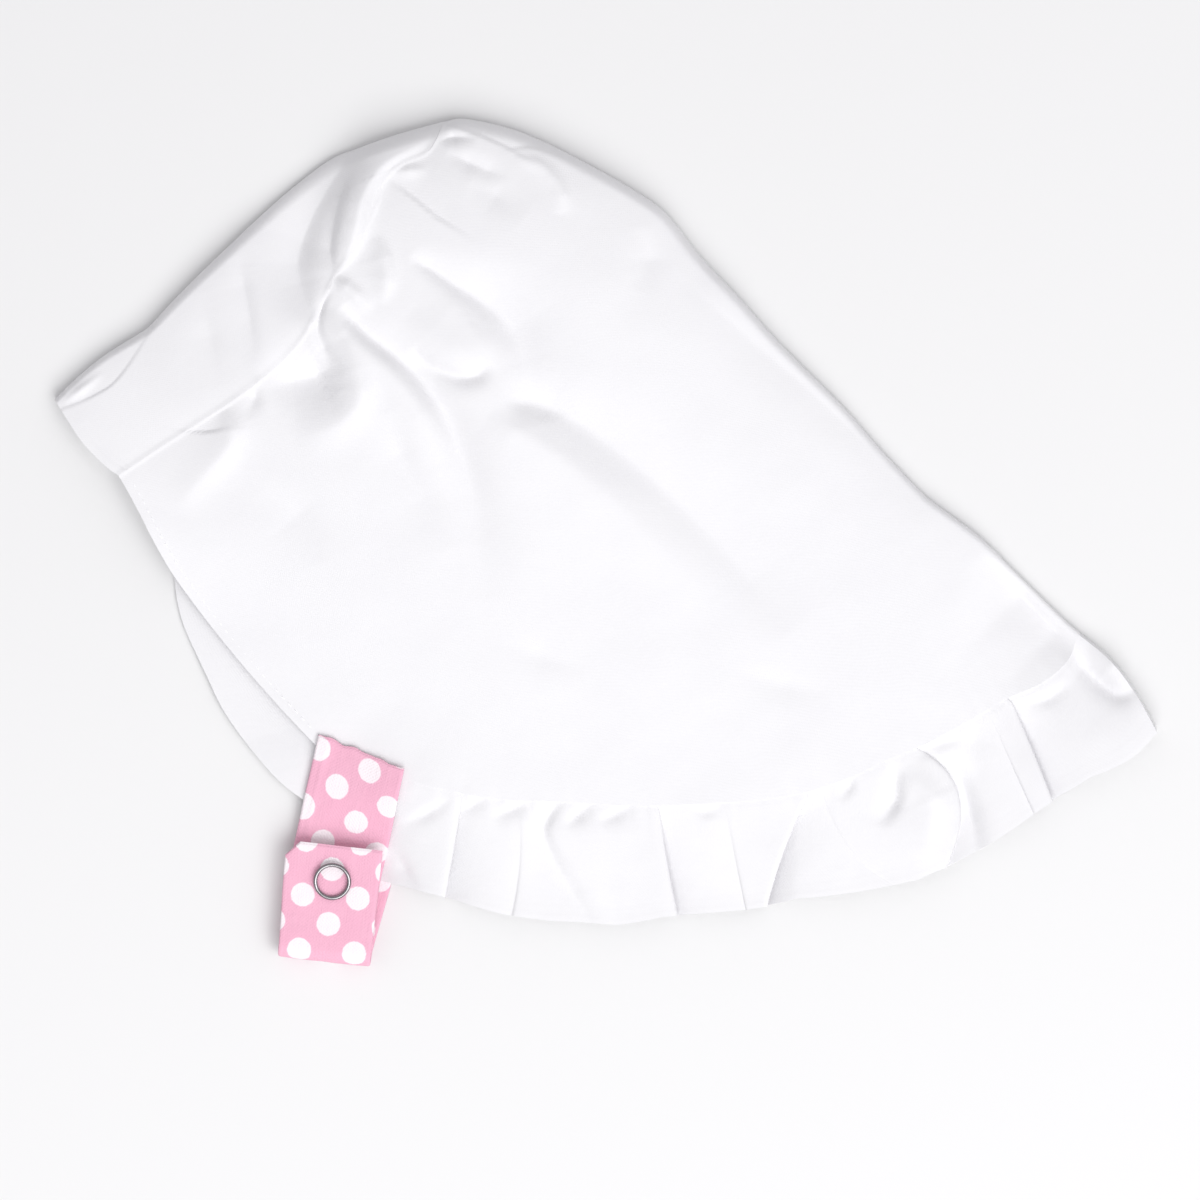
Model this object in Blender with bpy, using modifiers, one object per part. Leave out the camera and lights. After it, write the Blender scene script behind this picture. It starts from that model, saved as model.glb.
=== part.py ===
# Baby's sun cap with a neck ruffle and a chin strap, lying on its side.
# The cap lies folded in two along its crown and back: the far side is on the
# floor, the near side stands over it, and the face opening is on the left.
# Metres, +X from forehead to nape, +Y from neck to crown, +Z up from the floor.
import math

import bpy
import numpy as np

# Driving dimensions of the cap
CAP_LENGTH = 0.2762
CAP_HEIGHT = 0.1849
CROWN_LOFT = 0.0200
NECK_LOFT = 0.0075
CROWN_SPREAD = 0.0600
ROLL_HEIGHT = 0.0100
ROLL_WIDTH = 0.0320
CREASE_DEPTH = 0.0060
CREASE_WIDTH = 0.0090
FLAT_CREASE_SHARE = 0.35
BODY_WALL = 0.0012

# Driving dimensions of the ruffle
RUFFLE_DEPTH = 0.0311
RUFFLE_WALL = 0.0010
HEM_LOFT = 0.0056
PLEAT_RISE = 0.0036
PLEAT_SIDE = 0.0045
GATHER_RISE = 0.0009
GATHER_PITCH = 0.0090

# Driving dimensions of the chin strap and its snap
STRAP_WIDTH = 0.0250
STRAP_WALL = 0.0015
STRAP_LAP = 0.0035
TAB_LENGTH = 0.0357
TAB_PAST_SNAP = 0.0070
SNAP_TO_END = 0.0097
SNAP_TO_FOLD = 0.0220
SNAP_HEIGHT = 0.0022
SNAP_RADIUS = 0.0040
RING_RADIUS = 0.0050
RING_WIRE = 0.0013

# Room left between neighbours
SEAM_GAP = 0.0008
STACK_GAP = 0.0004

# Places below are shares: along is a share of CAP_LENGTH from the forehead
# tip, up is a share of CAP_HEIGHT from the lowest point of the neck seam.

# Folded edge of the front panel, forehead tip to crown seam (along, up)
PANEL_FOLD = (
    (0.000, 0.591),
    (0.047, 0.654),
    (0.093, 0.699),
    (0.140, 0.772),
    (0.226, 0.892),
    (0.294, 0.955),
    (0.336, 0.978),
    (0.380, 0.996),
)

# Folded edge of the body, crown seam to nape (along, up)
BODY_FOLD = (
    (0.380, 0.996),
    (0.399, 1.000),
    (0.473, 0.969),
    (0.585, 0.876),
    (0.668, 0.738),
    (0.766, 0.585),
    (0.859, 0.439),
    (0.942, 0.333),
    (1.000, 0.251),
)

# Seam between front panel and body: side stretch, then crown end (along, up)
SIDE_SEAM = (
    (0.063, 0.481),
    (0.140, 0.556),
    (0.208, 0.630),
    (0.255, 0.709),
    (0.274, 0.769),
)
CROWN_SEAM = (
    (0.274, 0.769),
    (0.289, 0.811),
    (0.311, 0.889),
    (0.341, 0.934),
    (0.363, 0.953),
    (0.380, 0.996),
)

# Hem of the front panel, side seam to forehead tip (along, up)
PANEL_HEM = (
    (0.063, 0.481),
    (0.040, 0.509),
    (0.026, 0.532),
    (0.000, 0.591),
)

# Face edges of the body, side seam to strap corner (along, up)
NEAR_FACE = (
    (0.063, 0.481),
    (0.099, 0.380),
    (0.133, 0.300),
    (0.184, 0.200),
    (0.259, 0.080),
)
FAR_FACE = (
    (0.063, 0.481),
    (0.101, 0.376),
    (0.118, 0.300),
    (0.148, 0.186),
    (0.201, 0.063),
    (0.259, -0.010),
)

# Neck seams of the body, strap corner to nape (along, up)
NEAR_NECK = (
    (0.259, 0.080),
    (0.343, 0.038),
    (0.433, 0.010),
    (0.570, 0.000),
    (0.688, 0.009),
    (0.776, 0.042),
    (0.841, 0.085),
    (0.927, 0.155),
    (0.987, 0.209),
    (1.000, 0.251),
)
FAR_NECK = (
    (0.259, -0.010),
    (0.348, 0.008),
    (0.453, 0.022),
    (0.629, 0.012),
    (0.727, 0.029),
    (0.825, 0.085),
    (0.923, 0.158),
    (1.000, 0.251),
)

# Rounding of the folded edge (along, middle height as a share of ROLL_HEIGHT,
# width of the near side's rise as a share of ROLL_WIDTH)
ROLL_SECTIONS = (
    (0.000, 0.40, 0.31),
    (0.091, 0.60, 0.50),
    (0.189, 0.80, 0.75),
    (0.277, 0.90, 0.94),
    (0.380, 1.00, 1.00),
    (0.473, 0.90, 0.81),
    (0.585, 0.70, 0.69),
    (0.727, 0.50, 0.50),
    (0.859, 0.40, 0.40),
    (1.000, 0.35, 0.25),
    (1.075, 0.25, 0.19),
)
FAR_ROLL_SHARE = 0.5

# Highest place of the near side (along, up)
CROWN_CENTRE = (0.365, 0.738)

# Creases and puffs of the near side (start along, start up, middle along,
# middle up, end along, end up, share of CREASE_DEPTH at the crown, which is
# FLAT_CREASE_SHARE of that far from it, and share of CREASE_WIDTH)
CREASES = (
    (0.345, 0.800, 0.492, 0.592, 0.703, 0.270, -0.65, 1.30),
    (0.355, 0.651, 0.389, 0.621, 0.424, 0.624, -0.55, 0.80),
    (0.282, 0.724, 0.385, 0.592, 0.424, 0.300, -0.55, 1.20),
    (0.275, 0.930, 0.248, 0.782, 0.257, 0.715, -0.60, 0.90),
    (0.330, 0.906, 0.365, 0.865, 0.409, 0.820, -0.45, 0.70),
    (0.384, 0.975, 0.430, 0.940, 0.488, 0.914, -0.45, 0.70),
    (0.184, 0.599, 0.155, 0.519, 0.120, 0.417, -0.40, 1.20),
    (0.385, 0.673, 0.400, 0.680, 0.415, 0.673, 0.35, 1.00),
    (0.640, 0.730, 0.800, 0.530, 0.875, 0.420, -0.30, 1.00),
)

# Ruffle: share of the neck seam where it starts, beside the strap
RUFFLE_START = 0.112

# Fall of the near ruffle's hem (share of the near ruffle, lean along and
# drop as shares of RUFFLE_DEPTH)
NEAR_FALL = (
    (0.000, -0.16, 0.90),
    (0.060, -0.09, 0.91),
    (0.185, 0.17, 1.04),
    (0.268, 0.22, 1.05),
    (0.351, 0.07, 0.96),
    (0.442, 0.19, 0.93),
    (0.546, 0.00, 0.90),
    (0.617, 0.09, 0.98),
    (0.670, 0.30, 1.02),
    (0.755, 0.39, 0.96),
    (0.855, 0.39, 0.89),
    (0.909, 0.43, 0.80),
    (1.000, 0.67, 0.84),
)

# Fall of the far ruffle's hem, hidden under the near one (same columns)
FAR_FALL = (
    (0.000, 0.02, 0.80),
    (0.300, 0.12, 0.94),
    (0.600, 0.16, 0.84),
    (0.850, 0.38, 0.80),
    (1.000, 0.67, 0.84),
)

# Raised pleats of the near ruffle (start and end as shares of the near
# ruffle, share of PLEAT_RISE)
PLEATS = (
    (-0.020, 0.073, 0.60),
    (0.125, 0.208, 0.70),
    (0.315, 0.352, 0.70),
    (0.442, 0.552, 1.00),
    (0.590, 0.715, 0.80),
    (0.825, 0.862, 1.00),
)

# Turns of the strap's width from +X, in degrees, and the tab's way down
TAB_ROOT_TURN = -21.9
SNAP_TURN = -6.5
FAR_ROOT_TURN = -16.0
TAB_ROOT_SHARE = 0.047
FAR_ROOT_SHARE = 0.055
TAB_HEADING = -102.5

# Mesh fineness
PANEL_COLUMNS = 12
PANEL_NEAR_ROWS = 7
PANEL_FAR_ROWS = 6
BODY_COLUMNS = 34
BODY_NEAR_ROWS = PANEL_COLUMNS + PANEL_NEAR_ROWS
BODY_FAR_ROWS = PANEL_COLUMNS + PANEL_FAR_ROWS
RUFFLE_NEAR_COLUMNS = 92
RUFFLE_FAR_COLUMNS = 36
RUFFLE_CROWDING = 1.3
RUFFLE_ROWS = 4
STRAP_COLUMNS = 5
TAB_ROWS = 14
STRAP_ROWS = 36
SPLINE_STEPS = 8


def placed(shares):
    """Turn (along, up) shares into metres."""
    return np.asarray(shares, float) * (CAP_LENGTH, CAP_HEIGHT)


def smooth_line(points):
    """A fine polyline through the points, curving evenly between them."""
    points = np.asarray(points, float)
    padded = np.vstack((2 * points[0] - points[1], points, 2 * points[-1] - points[-2]))
    step = np.linspace(0, 1, SPLINE_STEPS, endpoint=False)[:, None]
    pieces = []
    for a, b, c, d in zip(padded, padded[1:], padded[2:], padded[3:]):
        bend = 2 * a - 5 * b + 4 * c - d
        twist = 3 * b - a - 3 * c + d
        pieces.append(0.5 * (2 * b + (c - a) * step + bend * step ** 2 + twist * step ** 3))
    return np.vstack(pieces + [points[-1:]])


class Line:
    """A fine polyline whose points are found by their share of its length."""

    def __init__(self, points):
        self.points = np.asarray(points)
        steps = np.linalg.norm(np.diff(self.points, axis=0), axis=1)
        self.reach = np.concatenate(((0.0,), np.cumsum(steps)))
        self.length = self.reach[-1]

    def at(self, share):
        reach = np.asarray(share) * self.length
        columns = [np.interp(reach, self.reach, column) for column in self.points.T]
        return np.stack(columns, axis=-1)

    def beside(self, gap):
        """The plan line that runs a gap to the right of this one, shared out alike."""
        run = np.gradient(self.points, axis=0)
        run = run / np.linalg.norm(run, axis=1)[:, None]
        shifted = Line(self.points + gap * np.column_stack((run[:, 1], -run[:, 0])))
        shifted.reach = self.reach
        shifted.length = self.length
        return shifted

    def trimmed(self, gap):
        """This line without its first stretch."""
        return Line(self.at(np.linspace(gap / self.length, 1, 2 * len(self.points))))


def border(*stretches):
    """A smooth border line through one or more stretches of shares."""
    return Line(np.vstack([smooth_line(placed(stretch)) for stretch in stretches]))


panel_fold = border(PANEL_FOLD)
body_fold = border(BODY_FOLD)
side_seam = border(SIDE_SEAM)
crown_seam = border(CROWN_SEAM)
whole_seam = border(SIDE_SEAM, CROWN_SEAM)
panel_hem = border(PANEL_HEM)
near_face = border(NEAR_FACE)
far_face = border(FAR_FACE)
near_neck = border(NEAR_NECK)
far_neck = border(FAR_NECK)


def ease(share):
    """Go from 0 to 1 with a level start and end."""
    share = np.clip(share, 0, 1)
    return share * share * (3 - 2 * share)


def nearest(plan, line):
    """Distance from each plan point to a polyline, and the nearest place on it."""
    start = line[:-1]
    run = np.diff(line, axis=0)
    from_start = plan[:, None, :] - start[None]
    share = np.clip((from_start * run).sum(-1) / np.maximum((run * run).sum(-1), 1e-12), 0, 1)
    place = start[None] + share[..., None] * run[None]
    distance = np.linalg.norm(plan[:, None, :] - place, axis=-1)
    best = distance.argmin(axis=1)
    rows = np.arange(len(plan))
    return distance[rows, best], place[rows, best]


def fall(share, table):
    """Lean and drop from the neck seam to the hem, at a share of the ruffle."""
    share_column, lean, drop = np.array(table).T
    lean = np.interp(share, share_column, lean) * RUFFLE_DEPTH
    drop = np.interp(share, share_column, drop) * RUFFLE_DEPTH
    return np.stack((lean, -drop), axis=-1)


nape_fall = fall(1.0, NEAR_FALL)
nape = body_fold.at(1.0)
outline = np.vstack((panel_fold.points, body_fold.points, nape[None] + nape_fall[None]))


def roll(plan):
    """Middle height, width and distance inwards of the nearest folded edge."""
    distance, edge = nearest(plan, outline)
    along, height, width = np.array(ROLL_SECTIONS).T
    share = edge[:, 0] / CAP_LENGTH
    height = np.interp(share, along, height) * ROLL_HEIGHT
    width = np.interp(share, along, width) * ROLL_WIDTH
    return height, width, distance


def rounded(distance, width):
    """Quarter ellipse: 0 at the folded edge, 1 from its width inwards."""
    inward = 1 - np.clip(distance / width, 0, 1)
    return np.sqrt(1 - inward * inward)


def near_top(plan):
    """Height of the near side's middle away from the folded edge."""
    from_crown = np.linalg.norm(plan - placed(CROWN_CENTRE), axis=1) / CROWN_SPREAD
    fullness = np.exp(-0.5 * from_crown ** 2)
    height = NECK_LOFT + CROWN_LOFT * fullness
    crease_share = FLAT_CREASE_SHARE + (1 - FLAT_CREASE_SHARE) * fullness
    for row in CREASES:
        line = smooth_line(placed(np.reshape(row[:6], (3, 2))))
        distance, _ = nearest(plan, line)
        spread = CREASE_WIDTH * row[7]
        crease = row[6] * np.exp(-(distance / spread) ** 2)
        height = height + CREASE_DEPTH * crease_share * crease
    return height


def near_height(plan, top=None):
    """Height of the near side's middle surface over a plan point."""
    top = near_top(plan) if top is None else top
    middle, width, distance = roll(plan)
    return middle + (top - middle) * rounded(distance, width)


def far_lift(plan):
    """Lift of the far corner, which lies on the strap's root."""
    root = far_neck.at(np.linspace(0, 2 * FAR_ROOT_SHARE, SPLINE_STEPS))
    distance, _ = nearest(plan, root)
    plateau = STRAP_LAP + STRAP_WIDTH / 3
    past = np.clip(distance - plateau, 0, None) / plateau
    return (STRAP_WALL + STACK_GAP) * np.exp(-past ** 2)


def far_height(plan, wall):
    """Height of the far side's middle surface: flat on the floor but for its edges."""
    middle, width, distance = roll(plan)
    floor = wall / 2 + far_lift(plan)
    return middle - (middle - floor) * rounded(distance, FAR_ROLL_SHARE * width)


def patch(across, down, top_line, bottom_line, left_line, right_line):
    """Plan points of a sheet stretched between four border lines."""
    across = across[:, None]
    down = down[:, None]
    top = top_line.at(across[:, 0])
    bottom = bottom_line.at(across[:, 0])
    left = left_line.at(down[:, 0])
    right = right_line.at(down[:, 0])
    level = (1 - down) * top + down * bottom
    upright = (1 - across) * left + across * right
    upper = (1 - across) * top_line.at(0.0) + across * top_line.at(1.0)
    lower = (1 - across) * bottom_line.at(0.0) + across * bottom_line.at(1.0)
    return level + upright - (1 - down) * upper - down * lower


def halves(share, near_rows, far_rows):
    """Which half a row lies on, and its count from that half's free edge."""
    row = share * (near_rows + far_rows)
    on_near = row <= near_rows + 1e-3
    return on_near, np.where(on_near, row, near_rows + far_rows - row)


def towards_fold(row, rows):
    """Share of the way to the fold, with the rows closer together near it."""
    return 1 - (1 - np.clip(row / rows, 0, 1)) ** 2


def two_sided(near_plan, far_plan, on_near, wall):
    """Stack the near half over the far half as 3-D points."""
    near = np.column_stack((near_plan, near_height(near_plan)))
    far = np.column_stack((far_plan, far_height(far_plan, wall)))
    return np.where(on_near[:, None], near, far)


def body_shape(u, v):
    """Body: u from the panel seam to the neck, v from near to far face edge."""
    on_near, row = halves(v, BODY_NEAR_ROWS, BODY_FAR_ROWS)
    crown_rows = np.where(on_near, PANEL_NEAR_ROWS, PANEL_FAR_ROWS)
    on_side = np.minimum(row / PANEL_COLUMNS, 1) * side_seam.length
    on_crown = towards_fold(np.maximum(row - PANEL_COLUMNS, 0), crown_rows) * crown_seam.length
    across = (on_side + on_crown) / whole_seam.length
    seam = whole_seam.beside(SEAM_GAP)
    fold = body_fold.trimmed(SEAM_GAP)
    near_plan = patch(across, u, seam, near_neck, near_face.trimmed(SEAM_GAP), fold)
    far_plan = patch(across, u, seam, far_neck, far_face.trimmed(SEAM_GAP), fold)
    return two_sided(near_plan, far_plan, on_near, BODY_WALL)


def panel_shape(u, v):
    """Front panel: u from its hem to the crown end, v from near to far seam."""
    on_near, row = halves(v, PANEL_NEAR_ROWS, PANEL_FAR_ROWS)
    across = towards_fold(row, np.where(on_near, PANEL_NEAR_ROWS, PANEL_FAR_ROWS))
    plan = patch(across, u, panel_hem, crown_seam, side_seam, panel_fold)
    return two_sided(plan, plan, on_near, BODY_WALL)


def ruffle_shape(u, v):
    """Ruffle: u from the tab round the nape to the far end, v from seam to hem."""
    on_near, column = halves(u, RUFFLE_NEAR_COLUMNS, RUFFLE_FAR_COLUMNS)
    columns = np.where(on_near, RUFFLE_NEAR_COLUMNS, RUFFLE_FAR_COLUMNS)
    share = 1 - (1 - np.clip(column / columns, 0, 1)) ** RUFFLE_CROWDING
    seam_share = RUFFLE_START + share * (1 - RUFFLE_START)
    down = (SEAM_GAP / RUFFLE_DEPTH + v * (1 - SEAM_GAP / RUFFLE_DEPTH))[:, None]
    near_plan = near_neck.at(seam_share) + down * fall(share, NEAR_FALL)
    far_plan = far_neck.at(seam_share) + down * fall(share, FAR_FALL)
    seam_top = near_top(near_neck.at(seam_share))
    top = seam_top + (HEM_LOFT - seam_top) * ease(v)
    side = PLEAT_SIDE / (near_neck.length * (1 - RUFFLE_START))
    gathers = round(near_neck.length * (1 - RUFFLE_START) / GATHER_PITCH)
    top = top + GATHER_RISE * np.sin(2 * math.pi * gathers * share) * (1 - ease(v))
    for start, end, rise in PLEATS:
        rising = ease((share - start) / side + 0.5)
        falling = ease((end - share) / side + 0.5)
        top = top + PLEAT_RISE * rise * rising * falling * np.sin(0.5 * math.pi * v)
    near = np.column_stack((near_plan, near_height(near_plan, top)))
    far = np.column_stack((far_plan, far_height(far_plan, RUFFLE_WALL)))
    return np.where(on_near[:, None], near, far)


def heading(degrees):
    """Unit plan vector at an angle from +X."""
    return np.array((math.cos(math.radians(degrees)), math.sin(math.radians(degrees))))


# Stack at the snap, from the floor up: strap, tab, snap, strap end, ring
lower_run = STRAP_WALL / 2
tab_level = lower_run + STRAP_WALL + STACK_GAP
snap_level = tab_level + STRAP_WALL / 2 + STACK_GAP + SNAP_HEIGHT / 2
upper_run = snap_level + SNAP_HEIGHT / 2 + STACK_GAP + STRAP_WALL / 2
ring_level = upper_run + STRAP_WALL / 2 + STACK_GAP + RING_WIRE / 2

strap_way = heading(SNAP_TURN - 90)
tab_way = heading(TAB_HEADING)
tab_root = near_neck.at(TAB_ROOT_SHARE) - STRAP_LAP * heading(TAB_ROOT_TURN - 90)
snap_place = tab_root + TAB_LENGTH * tab_way
far_root = far_neck.at(FAR_ROOT_SHARE) - STRAP_LAP * heading(FAR_ROOT_TURN - 90)


def widened(places, turns, side):
    """Plan points beside a route, square to it but for its turn from +X."""
    angle = np.radians(turns)
    return places + side[:, None] * np.column_stack((np.cos(angle), np.sin(angle)))


def tab_shape(u, v):
    """Tab: u across, v from the near strap corner down to its end under the snap."""
    reach = v * (TAB_LENGTH + TAB_PAST_SNAP)
    places = tab_root + np.minimum(reach, TAB_LENGTH)[:, None] * tab_way
    places = places + np.clip(reach - TAB_LENGTH, 0, None)[:, None] * strap_way
    turns = TAB_ROOT_TURN + (SNAP_TURN - TAB_ROOT_TURN) * ease(reach / TAB_LENGTH)
    plan = widened(places, turns, (u - 0.5) * STRAP_WIDTH)
    on_body = near_height(plan) + (BODY_WALL + STRAP_WALL) / 2 + STACK_GAP
    descent = TAB_LENGTH - SNAP_RADIUS - 2 * STRAP_LAP
    level = tab_level + (on_body - tab_level) * (1 - ease((reach - STRAP_LAP) / descent))
    return np.column_stack((plan, level))


def strap_route():
    """Chin strap's middle: from the far corner along the floor, round its fold, to its end."""
    radius = (upper_run - lower_run) / 2
    bend = snap_place + (SNAP_TO_FOLD - STRAP_WALL / 2 - radius) * strap_way
    end = snap_place - SNAP_TO_END * strap_way
    angles = np.linspace(-0.5 * math.pi, 0.5 * math.pi, 2 * SPLINE_STEPS)
    arc = bend + radius * np.cos(angles)[:, None] * strap_way
    levels = (upper_run + lower_run) / 2 + radius * np.sin(angles)
    first = np.append(far_root, lower_run)
    last = np.append(end, upper_run)
    return Line(np.vstack((first, np.column_stack((arc, levels)), last)))


def strap_shape(u, v):
    """Chin strap: u across, v from the far strap corner to its end over the snap."""
    route = strap_route()
    x, y, level = route.at(v).T
    to_bend = np.linalg.norm(route.points[1] - route.points[0]) / route.length
    turns = FAR_ROOT_TURN + (SNAP_TURN - FAR_ROOT_TURN) * ease(v / to_bend)
    plan = widened(np.column_stack((x, y)), turns, (u - 0.5) * STRAP_WIDTH)
    return np.column_stack((plan, level))


def material(name, colour, roughness, metallic=0.0):
    """A Principled material."""
    made = bpy.data.materials.new(name)
    made.use_nodes = True
    shader = made.node_tree.nodes["Principled BSDF"]
    shader.inputs["Base Color"].default_value = (*colour, 1.0)
    shader.inputs["Roughness"].default_value = roughness
    shader.inputs["Metallic"].default_value = metallic
    return made


def finish(made, name, look):
    """Name a new object, give it its material and file it with the cap."""
    made.name = name
    made.data.name = name
    made.data.materials.append(look)
    for other in list(made.users_collection):
        other.objects.unlink(made)
    cap.objects.link(made)
    made.parent = cap_origin
    return made


def cloth(name, columns, rows, shape, wall, look):
    """A sheet of cloth: a grid laid out by its shape function and given its wall."""
    bpy.ops.mesh.primitive_grid_add(x_subdivisions=columns, y_subdivisions=rows, size=1)
    made = finish(bpy.context.object, name, look)
    grid = np.empty(3 * len(made.data.vertices))
    made.data.vertices.foreach_get("co", grid)
    u, v, _ = np.round(grid.reshape(-1, 3) + 0.5, 6).T
    made.data.vertices.foreach_set("co", shape(u, v).ravel())
    made.data.shade_smooth()
    made.data.update()
    shell = made.modifiers.new("wall", "SOLIDIFY")
    shell.thickness = wall
    shell.offset = 0
    return made


def snap_core(look):
    """Snap: one plain disc between the strap end and the tab."""
    bpy.ops.mesh.primitive_cylinder_add(vertices=24, radius=SNAP_RADIUS, depth=SNAP_HEIGHT)
    made = finish(bpy.context.object, "snap_core", look)
    made.location = (*snap_place, snap_level)
    return made


def snap_ring(look):
    """Ring of the snap, on top of the strap end."""
    bpy.ops.mesh.primitive_torus_add(
        major_radius=RING_RADIUS - RING_WIRE / 2,
        minor_radius=RING_WIRE / 2,
        major_segments=36,
        minor_segments=8,
    )
    made = finish(bpy.context.object, "snap_ring", look)
    made.data.shade_smooth()
    made.location = (*snap_place, ring_level)
    return made


def stand_on_origin(pieces):
    """Move the cap so that its origin is the centre of its box's underside."""
    bpy.context.view_layer.update()
    depsgraph = bpy.context.evaluated_depsgraph_get()
    corners = []
    for piece in pieces:
        solid = piece.evaluated_get(depsgraph)
        points = np.array([solid.matrix_world @ vertex.co for vertex in solid.data.vertices])
        corners += [points.min(axis=0), points.max(axis=0)]
    low = np.min(corners, axis=0)
    high = np.max(corners, axis=0)
    cap_origin.location = (-(low[0] + high[0]) / 2, -(low[1] + high[1]) / 2, -low[2])


for old in list(bpy.data.objects):
    bpy.data.objects.remove(old)

cap = bpy.data.collections.new("baby_sun_cap")
bpy.context.scene.collection.children.link(cap)
cap_origin = bpy.data.objects.new("cap_origin", None)
cap.objects.link(cap_origin)

white_cotton = material("white_cotton", (0.86, 0.86, 0.86), 0.85)
pink_cotton = material("pink_cotton", (0.90, 0.48, 0.62), 0.80)
steel = material("steel", (0.62, 0.62, 0.62), 0.25, 1.0)

body_rows = BODY_NEAR_ROWS + BODY_FAR_ROWS
panel_rows = PANEL_NEAR_ROWS + PANEL_FAR_ROWS
ruffle_columns = RUFFLE_NEAR_COLUMNS + RUFFLE_FAR_COLUMNS
stand_on_origin((
    cloth("front_panel", PANEL_COLUMNS, panel_rows, panel_shape, BODY_WALL, white_cotton),
    cloth("back_body", BODY_COLUMNS, body_rows, body_shape, BODY_WALL, white_cotton),
    cloth("neck_ruffle", ruffle_columns, RUFFLE_ROWS, ruffle_shape, RUFFLE_WALL, white_cotton),
    cloth("strap_tab", STRAP_COLUMNS, TAB_ROWS, tab_shape, STRAP_WALL, pink_cotton),
    cloth("chin_strap", STRAP_COLUMNS, STRAP_ROWS, strap_shape, STRAP_WALL, pink_cotton),
    snap_core(steel),
    snap_ring(steel),
))
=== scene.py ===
# Baby's white cotton sun cap with a gathered neck ruffle and a dotted chin strap.
# It lies on its side on a pale floor, seen from straight above.
import math

import bpy
import numpy as np
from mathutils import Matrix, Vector, noise


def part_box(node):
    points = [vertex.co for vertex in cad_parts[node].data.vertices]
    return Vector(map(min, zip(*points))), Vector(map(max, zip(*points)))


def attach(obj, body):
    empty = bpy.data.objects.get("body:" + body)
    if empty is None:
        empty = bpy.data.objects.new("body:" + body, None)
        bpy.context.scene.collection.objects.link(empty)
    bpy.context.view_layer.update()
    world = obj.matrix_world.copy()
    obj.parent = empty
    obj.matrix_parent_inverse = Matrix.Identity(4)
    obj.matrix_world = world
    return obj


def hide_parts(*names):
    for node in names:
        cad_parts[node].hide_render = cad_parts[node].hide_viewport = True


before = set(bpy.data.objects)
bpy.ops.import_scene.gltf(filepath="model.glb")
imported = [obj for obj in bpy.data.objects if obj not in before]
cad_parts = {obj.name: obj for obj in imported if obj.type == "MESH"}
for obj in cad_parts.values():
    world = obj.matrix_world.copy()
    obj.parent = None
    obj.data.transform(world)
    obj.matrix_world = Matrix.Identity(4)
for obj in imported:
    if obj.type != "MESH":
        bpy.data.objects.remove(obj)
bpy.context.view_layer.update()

scene = bpy.context.scene

# The cap's own sizes, in metres. Places in the tables below are thousandths: along
# of the length from the forehead tip, up of the height from the lowest point of
# the neck seam.
cap = {
    "length": 0.2762,
    "height": 0.1849,
    "snapAlong": 0.27113,
    "snapUp": -0.10950,
    "neckLoft": 0.0068,
    "crown": (420, 790),
    "crownLoft": 0.0088,
    "crownSpread": 0.060,
    "edgeShare": 0.40,
    "edgeReach": 0.014,
    "edgeDrop": 0.0026,
    "rollHeight": 0.0014,
    "rollWidth": 0.0046,
    "farRollShare": 0.5,
    "rollFlatness": 0.15,
    "creaseDepth": 1.6,
    "creasePower": 1.6,
    "knotSteps": 6,
    "cloth": 0.0009,
    "lift": 0.0002,
    "hemWidth": 0.0028,
    "hemRise": 0.00030,
    "hemStep": 0.0006,
    "hemStitch": 0.85,
    "hemStitchWidth": 0.00045,
    "seamLap": 0.00012,
    "seamRise": 0.00024,
    "seamWidth": 0.0007,
    "seamSink": 0.00015,
    "seamReach": 0.0030,
    "tuckEdge": 0.00022,
    "crumple": 0.00040,
    "crumpleSize": 0.024,
    "crumpleFiner": 2.3,
    "crumpleFine": 0.4,
}

ringLow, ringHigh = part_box("snap_ring")
ringCentre = (ringLow + ringHigh) / 2
capSize = np.array((cap["length"], cap["height"]))
capCorner = np.array(ringCentre)[:2] - capSize * (cap["snapAlong"], cap["snapUp"])

# Folded edge of the front panel, forehead tip to crown (along, up)
panelFold = (
    (0, 591), (18, 618), (47, 654), (81, 686), (93, 699), (111, 728), (140, 772), (189, 842),
    (226, 892), (267, 939), (294, 956), (336, 978), (380, 996),
)
# Folded edge of the body, crown to nape (along, up)
bodyFold = (
    (380, 996), (399, 1000), (439, 988), (473, 969), (512, 940), (551, 908), (585, 876), (602, 852),
    (629, 800), (668, 738), (707, 673), (766, 585), (805, 519), (844, 458), (859, 439), (903, 390),
    (942, 333), (981, 276), (1000, 251),
)
# Seam of the front panel: side stretch, then its gathered crown end (along, up)
sideSeam = (
    (63, 481), (101, 519), (140, 556), (179, 594), (210, 630), (238, 671), (255, 711), (274, 769),
)
crownSeam = (
    (274, 769), (291, 801), (303, 835), (315, 874), (320, 904), (338, 931), (362, 947), (373, 969),
    (380, 996),
)
panelHem = (
    (63, 481), (54, 490), (40, 509), (26, 532), (13, 561), (0, 591),
)
nearFace = (
    (63, 481), (73, 455), (85, 421), (98, 383), (114, 341), (133, 300), (155, 256), (184, 203),
    (218, 145), (259, 80),
)
farFace = (
    (63, 481), (82, 424), (101, 376), (114, 336), (118, 300), (124, 265), (135, 227), (148, 186),
    (161, 145), (179, 104), (201, 63), (223, 29), (259, -10),
)
nearNeck = (
    (259, 80), (301, 57), (343, 38), (385, 22), (433, 10), (492, 6), (570, 0), (629, 3), (688, 9),
    (732, 20), (776, 42), (810, 66), (841, 85), (884, 118), (927, 155), (962, 178), (987, 209),
    (1000, 251),
)
farNeck = (
    (259, -10), (348, 7), (453, 22), (629, 12), (727, 29), (825, 85), (923, 158), (1000, 251),
)

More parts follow.
